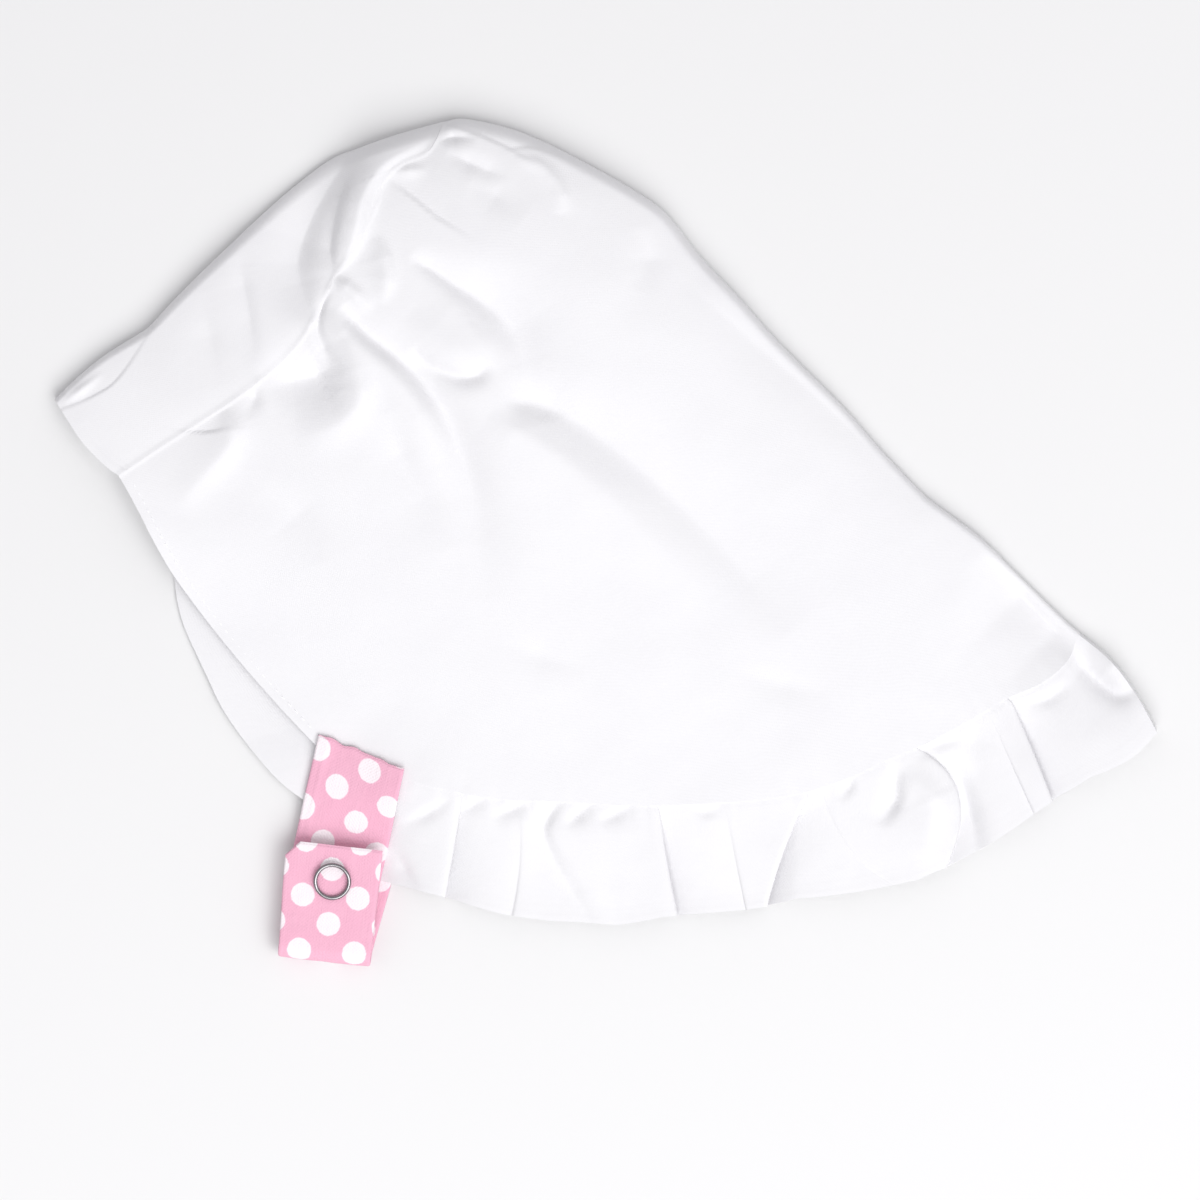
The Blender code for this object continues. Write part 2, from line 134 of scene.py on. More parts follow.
# Rounding of the folded edge: share of the length, then height and width of the roll
# as shares of rollHeight and rollWidth
rollSections = (
    (0.000, 0.40, 0.31),
    (0.091, 0.60, 0.50),
    (0.189, 0.80, 0.75),
    (0.277, 0.90, 0.94),
    (0.380, 1.00, 1.00),
    (0.473, 0.90, 0.81),
    (0.585, 0.70, 0.69),
    (0.727, 0.50, 0.50),
    (0.859, 0.40, 0.40),
    (1.000, 0.35, 0.25),
    (1.075, 0.25, 0.19),
)

# Valleys and ridges of the near side, each a row of points: along, up, rise (below
# zero in a valley), width to the left and to the right of its way, in millimetres
creases = (
    (  # the long valley, from the crown down behind the bright lobe
        (347, 794, 0, 2, 1.4), (365, 781, -1.2, 3, 1.8), (394, 753, -1.9, 5, 2.8),
        (424, 724, -2.6, 8, 4), (446, 689, -2.7, 10, 5), (459, 648, -2.2, 10, 6),
        (469, 598, -1, 9, 6), (477, 556, 0, 8, 6),
    ),
    (  # its wide lower stretch down the body
        (436, 586, 0, 5, 2.5), (455, 586, -1.5, 6, 3.5), (482, 577, -2.2, 7, 4.5),
        (515, 553, -2.2, 8, 5.5), (551, 513, -2, 9, 6), (595, 458, -1.8, 9, 6),
        (639, 393, -1.5, 9, 6), (680, 326, -1.1, 9, 6), (719, 256, 0, 8, 6),
    ),
    (  # the low crest along it
        (424, 566, 0, 3, 5), (448, 545, 0.8, 3, 6), (487, 509, 0.9, 4, 8), (531, 458, 0.8, 5, 9),
        (580, 387, 0.6, 5, 9), (634, 303, 0, 5, 9),
    ),
    (  # the bright lobe
        (347, 712, 0, 4, 4), (367, 686, 0.5, 8, 5), (392, 662, 0.7, 9, 5), (416, 668, 0.5, 8, 5),
        (430, 686, 0, 4, 4),
    ),
    (  # the crescent under it
        (351, 667, 0, 1.2, 2), (359, 648, -1.2, 1.8, 2.4), (376, 633, -1.8, 2.1, 2.8),
        (396, 624, -2, 2.1, 2.8), (413, 627, -1.7, 2, 2.6), (424, 645, 0, 1.2, 2),
    ),
    (  # the valley from the star to the middle of the body
        (281, 727, 0, 3, 1.5), (293, 702, -1.3, 4, 1.8), (311, 677, -1.7, 4, 2),
        (332, 654, -2.1, 4.5, 2.4), (349, 630, -2.4, 5, 2.8), (367, 598, -2.5, 5, 3.4),
        (384, 558, -2.4, 5.5, 4.2), (398, 510, -2.1, 6, 5), (409, 453, -1.6, 6.5, 6),
        (417, 380, -0.7, 7, 6), (422, 300, 0, 7, 6),
    ),
    (  # the bright crest beside it
        (271, 721, 0, 2, 2), (283, 689, 0.9, 2.5, 3), (306, 656, 1, 2.5, 4), (332, 621, 0.9, 3, 5),
        (360, 570, 0.8, 4, 6), (382, 504, 0, 4, 6),
    ),
    (  # the crest round the lavender dent
        (284, 680, 0, 2, 5), (296, 633, 1.3, 3, 7), (300, 601, 1.7, 3, 8), (291, 572, 1.5, 4, 8),
        (267, 548, 0.9, 5, 8), (236, 539, 0, 5, 7),
    ),
    (  # the dent
        (203, 604, 0, 5, 6), (230, 615, -2.2, 6, 8), (259, 627, -2.8, 6, 8), (282, 648, 0, 5, 5),
    ),
    (  # the thin fold above the dent
        (270, 750, 0, 1, 1), (262, 725, -0.8, 1.1, 1.1), (258, 694, -1, 1.3, 1.3),
        (264, 667, -0.8, 1.3, 1.3), (274, 643, 0, 1.2, 1.2),
    ),
    (  # the streak at the dent's left
        (201, 615, 0, 1.8, 1.8), (196, 592, -0.8, 2.2, 2.2), (189, 563, 0, 2, 2),
    ),
    (  # the fold beside the face edge
        (166, 575, 0, 2, 3), (175, 545, 1.3, 3, 6), (168, 516, 1.4, 3, 7), (152, 490, 1.1, 4, 7),
        (133, 458, 0.7, 4, 6), (120, 424, 0, 4, 5),
    ),
    (  # faint folds under the dent
        (201, 458, 0, 5, 5), (238, 424, -0.7, 5, 6), (259, 351, 0, 5, 5),
    ),
    ((324, 570, 0, 4, 4), (338, 512, -1, 4, 5), (360, 446, -0.8, 5, 6), (385, 373, 0, 5, 5)),
    (  # the star's short crest
        (275, 766, 0, 1.2, 1.2), (285, 754, 1, 1.5, 1.5), (296, 741, 0.9, 1.6, 1.6),
        (312, 719, 0, 1.6, 1.6),
    ),
    (  # the streak beside the star
        (315, 826, 0, 1.3, 2), (324, 795, 1, 1.5, 4), (326, 762, 1.1, 1.6, 4),
        (320, 728, 0, 1.5, 3),
    ),
    (  # the puffy ridge along the crown seam
        (278, 775, 0, 3, 1.8), (288, 807, 1.3, 6, 2), (295, 838, 2.2, 8, 2.2),
        (300, 873, 2.5, 9, 2.4), (308, 904, 2.3, 9, 2.4), (324, 933, 1.6, 7, 2.4),
        (345, 952, 0.9, 5, 2.2), (367, 969, 0, 3, 2),
    ),
    (  # small gathers right of the crown seam
        (327, 917, 0, 1.6, 1.6), (345, 921, 0.7, 1.8, 1.8), (365, 923, 0, 1.6, 1.6),
    ),
    ((376, 963, 0, 1.4, 1.6), (389, 972, -1.2, 1.6, 2.2), (411, 968, 0, 1.4, 2)),
    (
        (383, 949, 0, 2, 2), (404, 934, -0.9, 2.6, 2.6), (424, 921, -0.8, 2.8, 2.8),
        (441, 911, 0, 2.6, 2.6),
    ),
    ((404, 899, 0, 4, 4), (431, 885, -0.8, 4.5, 4.5), (457, 852, 0, 4.5, 4.5)),
    (  # the bright bend behind the crown
        (448, 943, 0, 1.6, 1.8), (471, 931, 0.7, 1.8, 2), (485, 912, 0.9, 2, 2.2),
        (494, 885, 0.8, 2, 2.2), (494, 858, 0, 2, 2.2),
    ),
    (  # the front panel's deep fold up to the crown
        (293, 984, -1.2, 3, 8), (285, 943, -2.2, 4.5, 10), (267, 899, -2.8, 5, 12),
        (252, 858, -3, 5.5, 12), (242, 822, -3, 5.5, 12), (237, 788, -2.6, 5, 11),
        (240, 759, -2, 4.5, 9), (247, 731, -1, 3, 6), (256, 706, 0, 2, 3),
    ),
    (  # its second, narrow one
        (291, 928, 0, 1.4, 3), (280, 885, -1, 1.4, 3.5), (274, 844, -1.3, 1.4, 3.5),
        (271, 808, -1.1, 1.4, 3), (274, 776, 0, 1.2, 2),
    ),
    (  # its faint ones
        (179, 800, 0, 2, 3), (185, 756, -0.6, 2, 4), (191, 706, -0.6, 2, 4), (196, 642, 0, 2, 3),
    ),
    ((140, 744, 0, 3, 4), (152, 683, -0.5, 3, 4), (161, 610, 0, 3, 4)),
    (  # the bright streak at the forehead tip
        (7, 585, 0, 1, 1), (26, 605, 0.6, 1.2, 1.2), (48, 630, 0, 1, 1),
    ),
    (  # the flat lip beside the back's folded edge, and faint folds
        (602, 775, 0, 2.5, 5), (659, 700, -0.4, 2.5, 5.5), (727, 613, -0.5, 2.5, 5.5),
        (795, 519, -0.4, 2.5, 5.5), (859, 424, 0, 2.5, 5),
    ),
    ((903, 364, 0, 2, 4), (942, 307, -2.2, 2.5, 14), (977, 253, -2.2, 2.5, 13), (1009, 209, 0, 2.5, 8)),
    ((570, 838, 0, 3, 3), (578, 794, -0.7, 4, 4), (570, 746, 0, 3, 3)),
    ((666, 197, 0, 2.5, 3.5), (712, 175, -0.4, 3, 4), (758, 161, 0, 2.5, 3.5)),
    ((432, 241, 0, 4, 4), (473, 219, -0.5, 4, 4), (520, 194, 0, 4, 4)),
)

# Pressed tucks, whose one side lies over the other: along, up and the step in
# millimetres, above zero where the left of the way is higher; last, how far it fades
tucks = (
    ((326, 908, 0), (347, 885, -0.8), (375, 851, -0.8), (414, 814, 0), 0.005),
    ((381, 991, -0.5), (412, 974, -0.8), (443, 953, -0.6), (473, 925, 0), 0.004),
    ((436, 949, 0), (463, 955, -0.7), (492, 943, -0.5), (512, 928, 0), 0.003),
    ((5, 575, -0.3), (39, 596, -0.5), (64, 623, -0.5), (97, 697, -0.2), 0.005),
)


def placed(thousandths):
    return np.asarray(thousandths, float) / 1000 * capSize + capCorner


def smoothLine(points, steps=8):
    points = np.asarray(points, float)
    padded = np.vstack((2 * points[0] - points[1], points, 2 * points[-1] - points[-2]))
    step = np.linspace(0, 1, steps, endpoint=False)[:, None]
    pieces = []
    for a, b, c, d in zip(padded, padded[1:], padded[2:], padded[3:]):
        bend = 2 * a - 5 * b + 4 * c - d
        twist = 3 * b - a - 3 * c + d
        pieces.append(0.5 * (2 * b + (c - a) * step + bend * step ** 2 + twist * step ** 3))
    return np.vstack(pieces + [points[-1:]])


def lineReach(line):
    return np.concatenate(((0.0,), np.cumsum(np.linalg.norm(np.diff(line, axis=0), axis=1))))


def onLine(line, share):
    reach = lineReach(line)
    wanted = np.asarray(share) * reach[-1]
    return np.stack([np.interp(wanted, reach, column) for column in line.T], axis=-1)


def border(*stretches):
    return np.vstack([smoothLine(placed(stretch)) for stretch in stretches])


def ease(share):
    share = np.clip(share, 0, 1)
    return share * share * (3 - 2 * share)


# Distance from each plan point to a line, the way along it to the nearest place,
# and the side: above zero to the left of the line's way, below zero to its right
def nearestOn(plan, line, block=4000):
    start = line[:-1]
    run = np.diff(line, axis=0)
    length = np.maximum(np.linalg.norm(run, axis=1), 1e-7)
    reach = lineReach(line)
    distances = []
    alongs = []
    sides = []
    for first in range(0, len(plan), block):
        fromStart = plan[first:first + block, None, :] - start[None]
        share = np.clip((fromStart * run).sum(-1) / length ** 2, 0, 1)
        away = fromStart - share[..., None] * run[None]
        distance = np.sqrt((away * away).sum(-1))
        best = distance.argmin(axis=1)
        rows = np.arange(len(best))
        nearRun = run[best]
        nearAway = away[rows, best]
        distances.append(distance[rows, best])
        alongs.append(reach[best] + share[rows, best] * length[best])
        sides.append(np.sign(nearRun[:, 0] * nearAway[:, 1] - nearRun[:, 1] * nearAway[:, 0]))
    return np.concatenate(distances), np.concatenate(alongs), np.concatenate(sides)


def distanceTo(plan, line):
    return nearestOn(plan, line)[0]


def noiseAlong(spots, size, seed, row=0.0):
    return np.array([noise.noise(Vector((spot / size, row, seed))) for spot in spots])


panelFoldLine = border(panelFold)
bodyFoldLine = border(bodyFold)
sideSeamLine = border(sideSeam)
crownSeamLine = border(crownSeam)
wholeSeamLine = border(sideSeam, crownSeam)
panelHemLine = border(panelHem)
nearFaceLine = border(nearFace)
farFaceLine = border(farFace)
nearNeckLine = border(nearNeck)
farNeckLine = border(farNeck)

# Gathered neck ruffle
ruffle = {
    "depth": 0.0311,
    "start": 0.100,
    "least": 0.0014,
    "wall": 0.0006,
    "lipDrop": 0.00030,
    "steepShare": 0.5,
    "steepReach": 0.0026,
    "startBulge": 0.0004,
    "startDrop": 0.0020,
    "startReach": 0.0045,
    "fold": 0.00028,
    "lipReach": 0.0022,
    "lipWidth": 0.0009,
    "lipFull": 0.001,
    "bendFull": 0.002,
    "underShift": 0.4,
    "napeBulge": 0.0024,
    "napeReach": 0.008,
    "napeWay": (0.72, 0.69),
    "bulgeReach": 0.006,
    "bulgePower": 0.9,
    "soften": 0.0006,
    "crumple": 0.6,
    "freeFrom": 0.2,
    "pucker": 0.00055,
    "puckerReach": 0.0050,
    "widePucker": 0.0050,
    "narrowPucker": 0.0022,
    "narrowShare": 0.5,
    "puckerLevel": 0.35,
    "nearColumns": 430,
    "farColumns": 120,
    "rows": 40,
    "crowding": 0.0012,
    "crowdShare": 7,
    "creaseDepth": 1.5,
    "hemBand": 0.0030,
    "hemRise": 0.00012,
}
# Fall of the hem: share of the ruffle, lean along and drop as shares of its depth,
# and height of the hem in millimetres
nearFall = (
    (0.000, -0.16, 0.90, 3.0),
    (0.025, -0.13, 0.90, 4.2),
    (0.072, -0.08, 0.91, 6.6),
    (0.135, 0.06, 1.00, 6.6),
    (0.185, 0.17, 1.04, 7.0),
    (0.268, 0.22, 1.05, 6.4),
    (0.351, 0.07, 0.96, 7.2),
    (0.442, 0.19, 0.93, 6.6),
    (0.546, 0.00, 0.90, 7.4),
    (0.617, 0.09, 0.98, 6.6),
    (0.670, 0.30, 1.02, 7.4),
    (0.755, 0.39, 0.96, 6.6),
    (0.855, 0.39, 0.89, 8.4),
    (0.909, 0.43, 0.80, 9.0),
    (1.000, 0.67, 0.84, 8.4),
)
farFall = (
    (0.000, 0.02, 0.66),
    (0.120, 0.06, 0.80),
    (0.300, 0.12, 0.92),
    (0.600, 0.16, 0.82),
    (0.850, 0.38, 0.80),
    (1.000, 0.67, 0.84),
)
# Pleat edges, from the tab to the nape: share of the ruffle at the seam, middle
# and hem; drop of the lower side at the same three, in millimetres, above zero
# where the left side lies over the right; how far it fades, and lip, in millimetres
pleatEdges = (
    (0.085, 0.078, 0.072, 0.4, 5.6, 7.0, 6.0, 1.6),
    (0.169, 0.161, 0.146, 0.0, -0.4, -0.7, 8.0, 0.1),
    (0.353, 0.358, 0.365, 0.4, 5.4, 6.6, 8.0, 1.2),
    (0.447, 0.448, 0.449, 0.0, -0.4, -0.7, 7.0, 0.1),
    (0.559, 0.521, 0.483, 0.4, 5.8, 7.0, 9.0, 1.4),
    (0.581, 0.605, 0.650, -0.1, -0.3, -0.1, 5.0, 0.2),
    (0.719, 0.749, 0.704, 0.4, 3.2, 1.2, 9.0, 0.2),
    (0.830, 0.831, 0.832, 0.0, -0.6, -1.0, 6.0, 0.3),
    (0.859, 0.858, 0.855, 0.4, 5.2, 6.2, 10.0, 1.4),
)
# Short folds of the ruffle, with the creases' columns
ruffleCreases = (
    ((338, -28, 0, 0.8, 1.5), (363, -10, -0.9, 1, 2.2), (388, 12, 0, 0.8, 1.5)),
    ((332, -60, 0, 1.2, 2), (341, -92, -0.7, 1.5, 2.5), (355, -124, 0, 1.2, 2)),
    ((392, -13, 0, 0.8, 1.8), (409, 4, -0.9, 0.9, 2), (424, 10, 0, 0.8, 1.8)),
    ((426, -20, 0, 0.8, 2), (445, -4, -1, 0.9, 2.2), (467, 4, 0, 0.8, 2)),
    (
        (498, 12, 0, 1, 2), (484, -12, -1.1, 1.1, 2.4), (477, -39, -1.3, 1.6, 3.6),
        (488, -83, -1.4, 2.4, 6), (506, -130, -1.3, 2.8, 7), (525, -183, -0.9, 3, 7),
    ),
    ((498, -32, 0, 0.8, 1.8), (511, -10, -1.2, 0.9, 2.2), (525, 7, 0, 0.8, 1.8)),
    ((529, -26, 0, 0.8, 1.8), (545, -12, -0.9, 0.9, 2), (565, 1, 0, 0.8, 1.8)),
    ((617, 0, 0, 1, 1.2), (634, -10, -0.5, 1.2, 1.2), (653, -1, 0, 1, 1.2)),
    ((780, 48, 0, 0.8, 1.8), (774, 28, -1, 1.2, 2.2), (766, 4, 0, 0.8, 1.8)),
    ((818, 66, 0, 1, 1.8), (821, 37, -1.2, 1.5, 2.4), (818, 3, -1.7, 1.6, 2.8), (803, -31, 0, 1.5, 2.5)),
    ((838, 69, 0, 1, 1.6), (858, 89, -1.1, 1.3, 2.2), (887, 99, 0, 1, 1.6)),
    ((870, 77, 0, 2, 3.5), (884, 37, -1.6, 2.4, 5), (893, -10, -1.9, 2.6, 6), (899, -66, -1.4, 2.6, 6)),
    ((825, 48, 0, 4, 4), (856, 10, 1.5, 5, 5), (850, -54, 0.6, 5, 5)),
    ((908, 142, 0, 3, 3), (895, 92, -0.7, 4, 3), (909, 15, 0, 3, 3)),
    ((942, 145, 0, 1, 2), (968, 156, -0.9, 1.4, 2.4), (991, 180, 0, 1, 2)),
    (
        (991, 224, 0, 1.4, 1.8), (1005, 200, -1.4, 1.6, 2.4), (1021, 177, -1.7, 1.6, 2.6),
        (1038, 161, -1.4, 1.6, 2.4), (1056, 168, 0, 1.4, 2),
    ),
    ((1007, 232, 0, 2, 2), (1030, 203, 1.1, 2.6, 2.6), (1046, 174, 0, 2, 2)),
)

# Drooping lower stretch of the near face edge, which comes down on the far side
droop = {
    "depth": 0.0040,
    "reach": 0.0220,
    "startUp": 0.42,
    "fullUp": 0.25,
}
# Lift of the far face edge and of the far corner, which lies on the strap
farEdge = {
    "lift": 0.0014,
    "reach": 0.0070,
    "faceStart": (100, 0),
    "faceRamp": 0.02,
    "strapLift": 0.0019,
    "strapPlateau": 0.0118,
    "rootShare": 0.11,
}


def fall(share, table):
    column, lean, drop = np.array(table).T[:3]
    lean = np.interp(share, column, lean) * ruffle["depth"]
    drop = np.interp(share, column, drop) * ruffle["depth"]
    return np.stack((lean, -drop), axis=-1)


def swelling(down):
    return np.sin(math.pi * np.clip(down, 0, 1) ** ruffle["bulgePower"])


def napeLine(down):
    straight = bodyFoldLine[-1] + down[..., None] * fall(1.0, nearFall)
    bulge = ruffle["napeBulge"] * swelling(down)
    return straight + bulge[..., None] * np.array(ruffle["napeWay"])


napeEdge = napeLine(np.linspace(0, 1, 12))
outline = np.vstack((panelFoldLine, bodyFoldLine, napeEdge[1:]))


def roll(plan):
    distance, reach = nearestOn(plan, outline)[:2]
    along, height, width = np.array(rollSections).T
    share = (np.interp(reach, lineReach(outline), outline[:, 0]) - capCorner[0]) / cap["length"]
    height = np.interp(share, along, height) * cap["rollHeight"]
    width = np.interp(share, along, width) * cap["rollWidth"]
    return height, width, distance


def rounded(distance, width):
    inward = 1 - np.clip(distance / width, 0, 1)
    flatter = 1 - inward * inward
    return cap["rollFlatness"] * flatter + (1 - cap["rollFlatness"]) * np.sqrt(flatter)


# Distance and side of plan points from a row of table points, and the further
# columns of the table there, in metres
def besideRow(plan, points):
    rows = np.array(points)
    line = smoothLine(placed(rows[:, :2]), cap["knotSteps"])
    knots = lineReach(line)[::cap["knotSteps"]]
    distance, along, side = nearestOn(plan, line)
    return distance, side, [np.interp(along, knots, column) * 0.001 for column in rows[:, 2:].T]


def creased(plan, table):
    change = np.zeros(len(plan))
    for points in table:
        distance, side, (rise, left, right) = besideRow(plan, points)
        width = np.where(side > 0, left, right)
        change += rise * np.exp(-(distance / width) ** cap["creasePower"])
    return change


def tucked(plan):
    change = np.zeros(len(plan))
    for *points, fade in tucks:
        distance, side, (step,) = besideRow(plan, points)
        change += 0.5 * step * np.tanh(side * distance / cap["tuckEdge"]) * np.exp(-distance / fade)
    return change


def crumpled(plan, size, seed):
    finer = cap["crumpleFiner"]
    change = [noise.noise(Vector((x / size, y / size, seed))) for x, y in plan]
    fine = [noise.noise(Vector((x / size * finer, y / size * finer, seed + 7.0))) for x, y in plan]
    return np.array(change) + cap["crumpleFine"] * np.array(fine)


def seamRelief(distance):
    ridge = np.exp(-(distance / cap["seamWidth"]) ** 2)
    return cap["seamRise"] * ridge - cap["seamSink"] * np.exp(-(distance / cap["seamReach"]) ** 2)


def hemRelief(distance, band, rise):
    inside = 1 - ease((distance - band) / cap["hemStep"])
    stitchLine = np.exp(-((distance - cap["hemStitch"] * band) / cap["hemStitchWidth"]) ** 2)
    return rise * (inside - stitchLine)


def nearTop(plan):
    fromCrown = np.linalg.norm(plan - placed(cap["crown"]), axis=1) / cap["crownSpread"]
    edge = np.exp(-distanceTo(plan, outline) / cap["edgeReach"])
    fullness = (1 - cap["edgeShare"] * edge) * np.exp(-0.5 * fromCrown ** 2)
    top = cap["neckLoft"] + cap["crownLoft"] * fullness - cap["edgeDrop"] * edge
    top += cap["creaseDepth"] * creased(plan, creases)
    up = (plan[:, 1] - capCorner[1]) / cap["height"]
    low = ease((droop["startUp"] - up) / (droop["startUp"] - droop["fullUp"]))
    fromFace = distanceTo(plan, nearFaceLine)
    return top - droop["depth"] * low * np.exp(-(fromFace / droop["reach"]) ** 2)


def nearRelief(plan):
    relief = seamRelief(distanceTo(plan, wholeSeamLine)) + tucked(plan)
    return relief + cap["crumple"] * crumpled(plan, cap["crumpleSize"], 3.0)


def nearHeight(plan, top, relief):
    middle, width, distance = roll(plan)
    shape = rounded(distance, width)
    return middle + (top - middle) * shape + relief * np.clip(2 * shape, 0, 1)


def farHeight(plan, wall):
    middle, width, distance = roll(plan)
    fromFace = distanceTo(plan, farFaceLine)
    lowFace = ease((plan[:, 0] - placed(farEdge["faceStart"])[0]) / farEdge["faceRamp"])
    lift = farEdge["lift"] * np.exp(-(fromFace / farEdge["reach"]) ** 2) * lowFace
    root = onLine(farNeckLine, np.linspace(0, farEdge["rootShare"], 8))
    past = np.clip(distanceTo(plan, root) / farEdge["strapPlateau"] - 1, 0, None)
    lift = np.maximum(lift, farEdge["strapLift"] * np.exp(-past ** 2))
    floorLevel = wall / 2 + cap["lift"] + lift
    return middle - (middle - floorLevel) * rounded(distance, cap["farRollShare"] * width)


# Plan points of a sheet stretched between four border lines
def patch(across, down, topLine, bottomLine, leftLine, rightLine):
    top = onLine(topLine, across)
    bottom = onLine(bottomLine, across)
    left = onLine(leftLine, down)
    right = onLine(rightLine, down)
    across = across[:, None]
    down = down[:, None]
    level = (1 - down) * top + down * bottom
    upright = (1 - across) * left + across * right
    upper = (1 - across) * topLine[0] + across * topLine[-1]
    lower = (1 - across) * bottomLine[0] + across * bottomLine[-1]
    return level + upright - (1 - down) * upper - down * lower


def newObject(name, data):
    made = bpy.data.objects.new(name, data)
    scene.collection.objects.link(made)
    return made


def newPiece(name, points, faces, flat=None):
    mesh = bpy.data.meshes.new(name)
    mesh.from_pydata(points, [], faces)
    if flat is not None:
        corner = [loop.vertex_index for loop in mesh.loops]
        layer = mesh.uv_layers.new(name="flat")
        layer.data.foreach_set("uv", flat.reshape(-1, 2)[corner].astype(np.float32).ravel())
    return newObject(name, mesh)


# A mesh from a grid of points and its flat coordinates, both in metres
def gridMesh(name, points, flat):
    rows, columns = points.shape[:2]
    index = np.arange(rows * columns).reshape(rows, columns)
    corners = (index[:-1, :-1], index[:-1, 1:], index[1:, 1:], index[1:, :-1])
    faces = np.stack(corners, axis=-1).reshape(-1, 4)
    return newPiece(name, points.reshape(-1, 3).tolist(), faces.tolist(), flat)


# Gives a sheet its wall, as a closed mesh with sharp rims
def thicken(made, wall):
    shell = made.modifiers.new("wall", "SOLIDIFY")
    shell.thickness = wall
    shell.offset = 0
    bpy.context.view_layer.update()
    solid = made.evaluated_get(bpy.context.evaluated_depsgraph_get())
    mesh = bpy.data.meshes.new_from_object(solid)
    made.modifiers.clear()
    made.data = mesh
    mesh.shade_smooth()
    mesh.set_sharp_from_angle(angle=math.radians(60))
    return made


def dressed(made, material, slotName, *nodes):
    made.data.materials.clear()
    made.data.materials.append(material)
    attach(made, "root")
    if nodes:
        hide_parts(*nodes)
    return made


def flatCoordinates(points):
    along = np.linalg.norm(np.diff(points, axis=1), axis=2)
    down = np.linalg.norm(np.diff(points, axis=0), axis=2)
    u = np.pad(np.cumsum(along, axis=1), ((0, 0), (1, 0)))
    v = np.pad(np.cumsum(down, axis=0), ((1, 0), (0, 0)))
    return np.stack((u, v), axis=-1)


def units(vectors):
    return vectors / np.linalg.norm(vectors, axis=1)[:, None]


def beside(line, distance):
    way = units(np.gradient(line, axis=0))
    return line + distance * np.stack((way[:, 1], -way[:, 0]), axis=-1)


# A sheet folded over at the outline, near side first; its border lines are top,
# bottom, left and right, and its points crowd towards the fold
def foldedSheet(name, sizes, nearLines, farLines, heightOf):
    down = np.linspace(0, 1, sizes["columns"]) ** sizes["downPower"]
    rows = []
    for near in (True, False):
        steps = np.linspace(0, 1, sizes["nearRows" if near else "farRows"])
        across = 1 - (1 - steps) ** sizes["foldPower"]
        if not near:
            across = across[:-1][::-1]
        share, reach = np.meshgrid(across, down, indexing="ij")
        plan = patch(share.ravel(), reach.ravel(), *(nearLines if near else farLines))
        height = heightOf(plan) if near else farHeight(plan, sizes["wall"])
        rows.append(np.column_stack((plan, height)).reshape(-1, sizes["columns"], 3))
    points = np.concatenate(rows)
    return thicken(gridMesh(name, points, flatCoordinates(points)), sizes["wall"])


# Front panel, from its hem at the forehead to the gathers at the crown
panel = {
    "wall": cap["cloth"],
    "columns": 150,
    "nearRows": 90,
    "farRows": 34,
    "downPower": 1.0,
    "foldPower": 1.6,
    "hemBand": 0.0030,
}


def panelHeight(plan):
    fromHem = distanceTo(plan, panelHemLine)
    relief = nearRelief(plan) + hemRelief(fromHem, panel["hemBand"], cap["hemRise"])
    return nearHeight(plan, nearTop(plan), relief)


def makeFrontPanel():
    crownLine = beside(crownSeamLine, cap["seamLap"])
    sideLine = beside(sideSeamLine, cap["seamLap"])
    lines = (panelHemLine, crownLine, sideLine, panelFoldLine)
    return foldedSheet("front_panel_cloth", panel, lines, lines, panelHeight)


# Small gathers along the neck seam, by the way along it
def puckerFolds(along):
    wide = np.abs(noiseAlong(along, ruffle["widePucker"], 11.0))
    narrow = np.abs(noiseAlong(along, ruffle["narrowPucker"], 23.0))
    return ruffle["puckerLevel"] - wide - ruffle["narrowShare"] * narrow


# Body, from the panel's seam back to the nape and down to the neck
body = {
    "wall": cap["cloth"],
    "columns": 225,
    "nearRows": 178,
    "farRows": 36,
    "downPower": 1.3,
    "foldPower": 1.3,
    "neckPucker": 0.0006,
    "neckReach": 0.0045,
    "puckerStart": 0.004,
}


def bodyRelief(plan):
    fromFace = distanceTo(plan, nearFaceLine)
    relief = nearRelief(plan) + hemRelief(fromFace, cap["hemWidth"], cap["hemRise"])
    fromNeck, along = nearestOn(plan, nearNeckLine)[:2]
    along = along - ruffle["start"] * lineReach(nearNeckLine)[-1]
    folds = puckerFolds(along) * np.clip(along / body["puckerStart"], 0, 1)
    return relief + body["neckPucker"] * folds * np.exp(-fromNeck / body["neckReach"])


def bodyHeight(plan):
    return nearHeight(plan, nearTop(plan), bodyRelief(plan))


def makeBody():
    seam = beside(wholeSeamLine, -cap["seamLap"])
    nearLines = (seam, nearNeckLine, nearFaceLine, bodyFoldLine)
    farLines = (seam, farNeckLine, farFaceLine, bodyFoldLine)
    return foldedSheet("back_body_cloth", body, nearLines, farLines, bodyHeight)


def throughThree(start, middle, end, share):
    first = start * (2 * share - 1) * (share - 1)
    second = 4 * middle * share * (1 - share)
    return first + second + end * share * (2 * share - 1)


ruffleReach = lineReach(nearNeckLine)[-1] * (1 - ruffle["start"])
pleatMiddles = np.array([row[1] for row in pleatEdges])


# From a share of the ruffle to a share of the neck seam
def neckShare(share):
    return ruffle["start"] + share * (1 - ruffle["start"])


def ruffleColumns():
    fine = np.linspace(0, 1, 4001)
    away = np.abs(fine[:, None] - pleatMiddles) * ruffleReach
    density = 1 + ruffle["crowdShare"] * np.exp(-away / ruffle["crowding"]).sum(axis=1)
    reach = np.concatenate(((0.0,), np.cumsum(0.5 * (density[1:] + density[:-1]))))
    return np.interp(np.linspace(0, reach[-1], ruffle["nearColumns"]), reach, fine)


def ruffleShares(columns, down):
    knots = np.concatenate(((0.0,), pleatMiddles, (1.0,)))
    shares = []
    for level in down:
        here = [throughThree(*row[:3], level) for row in pleatEdges]
        shares.append(np.interp(columns, knots, np.concatenate(((0.0,), here, (1.0,)))))
    return np.array(shares)


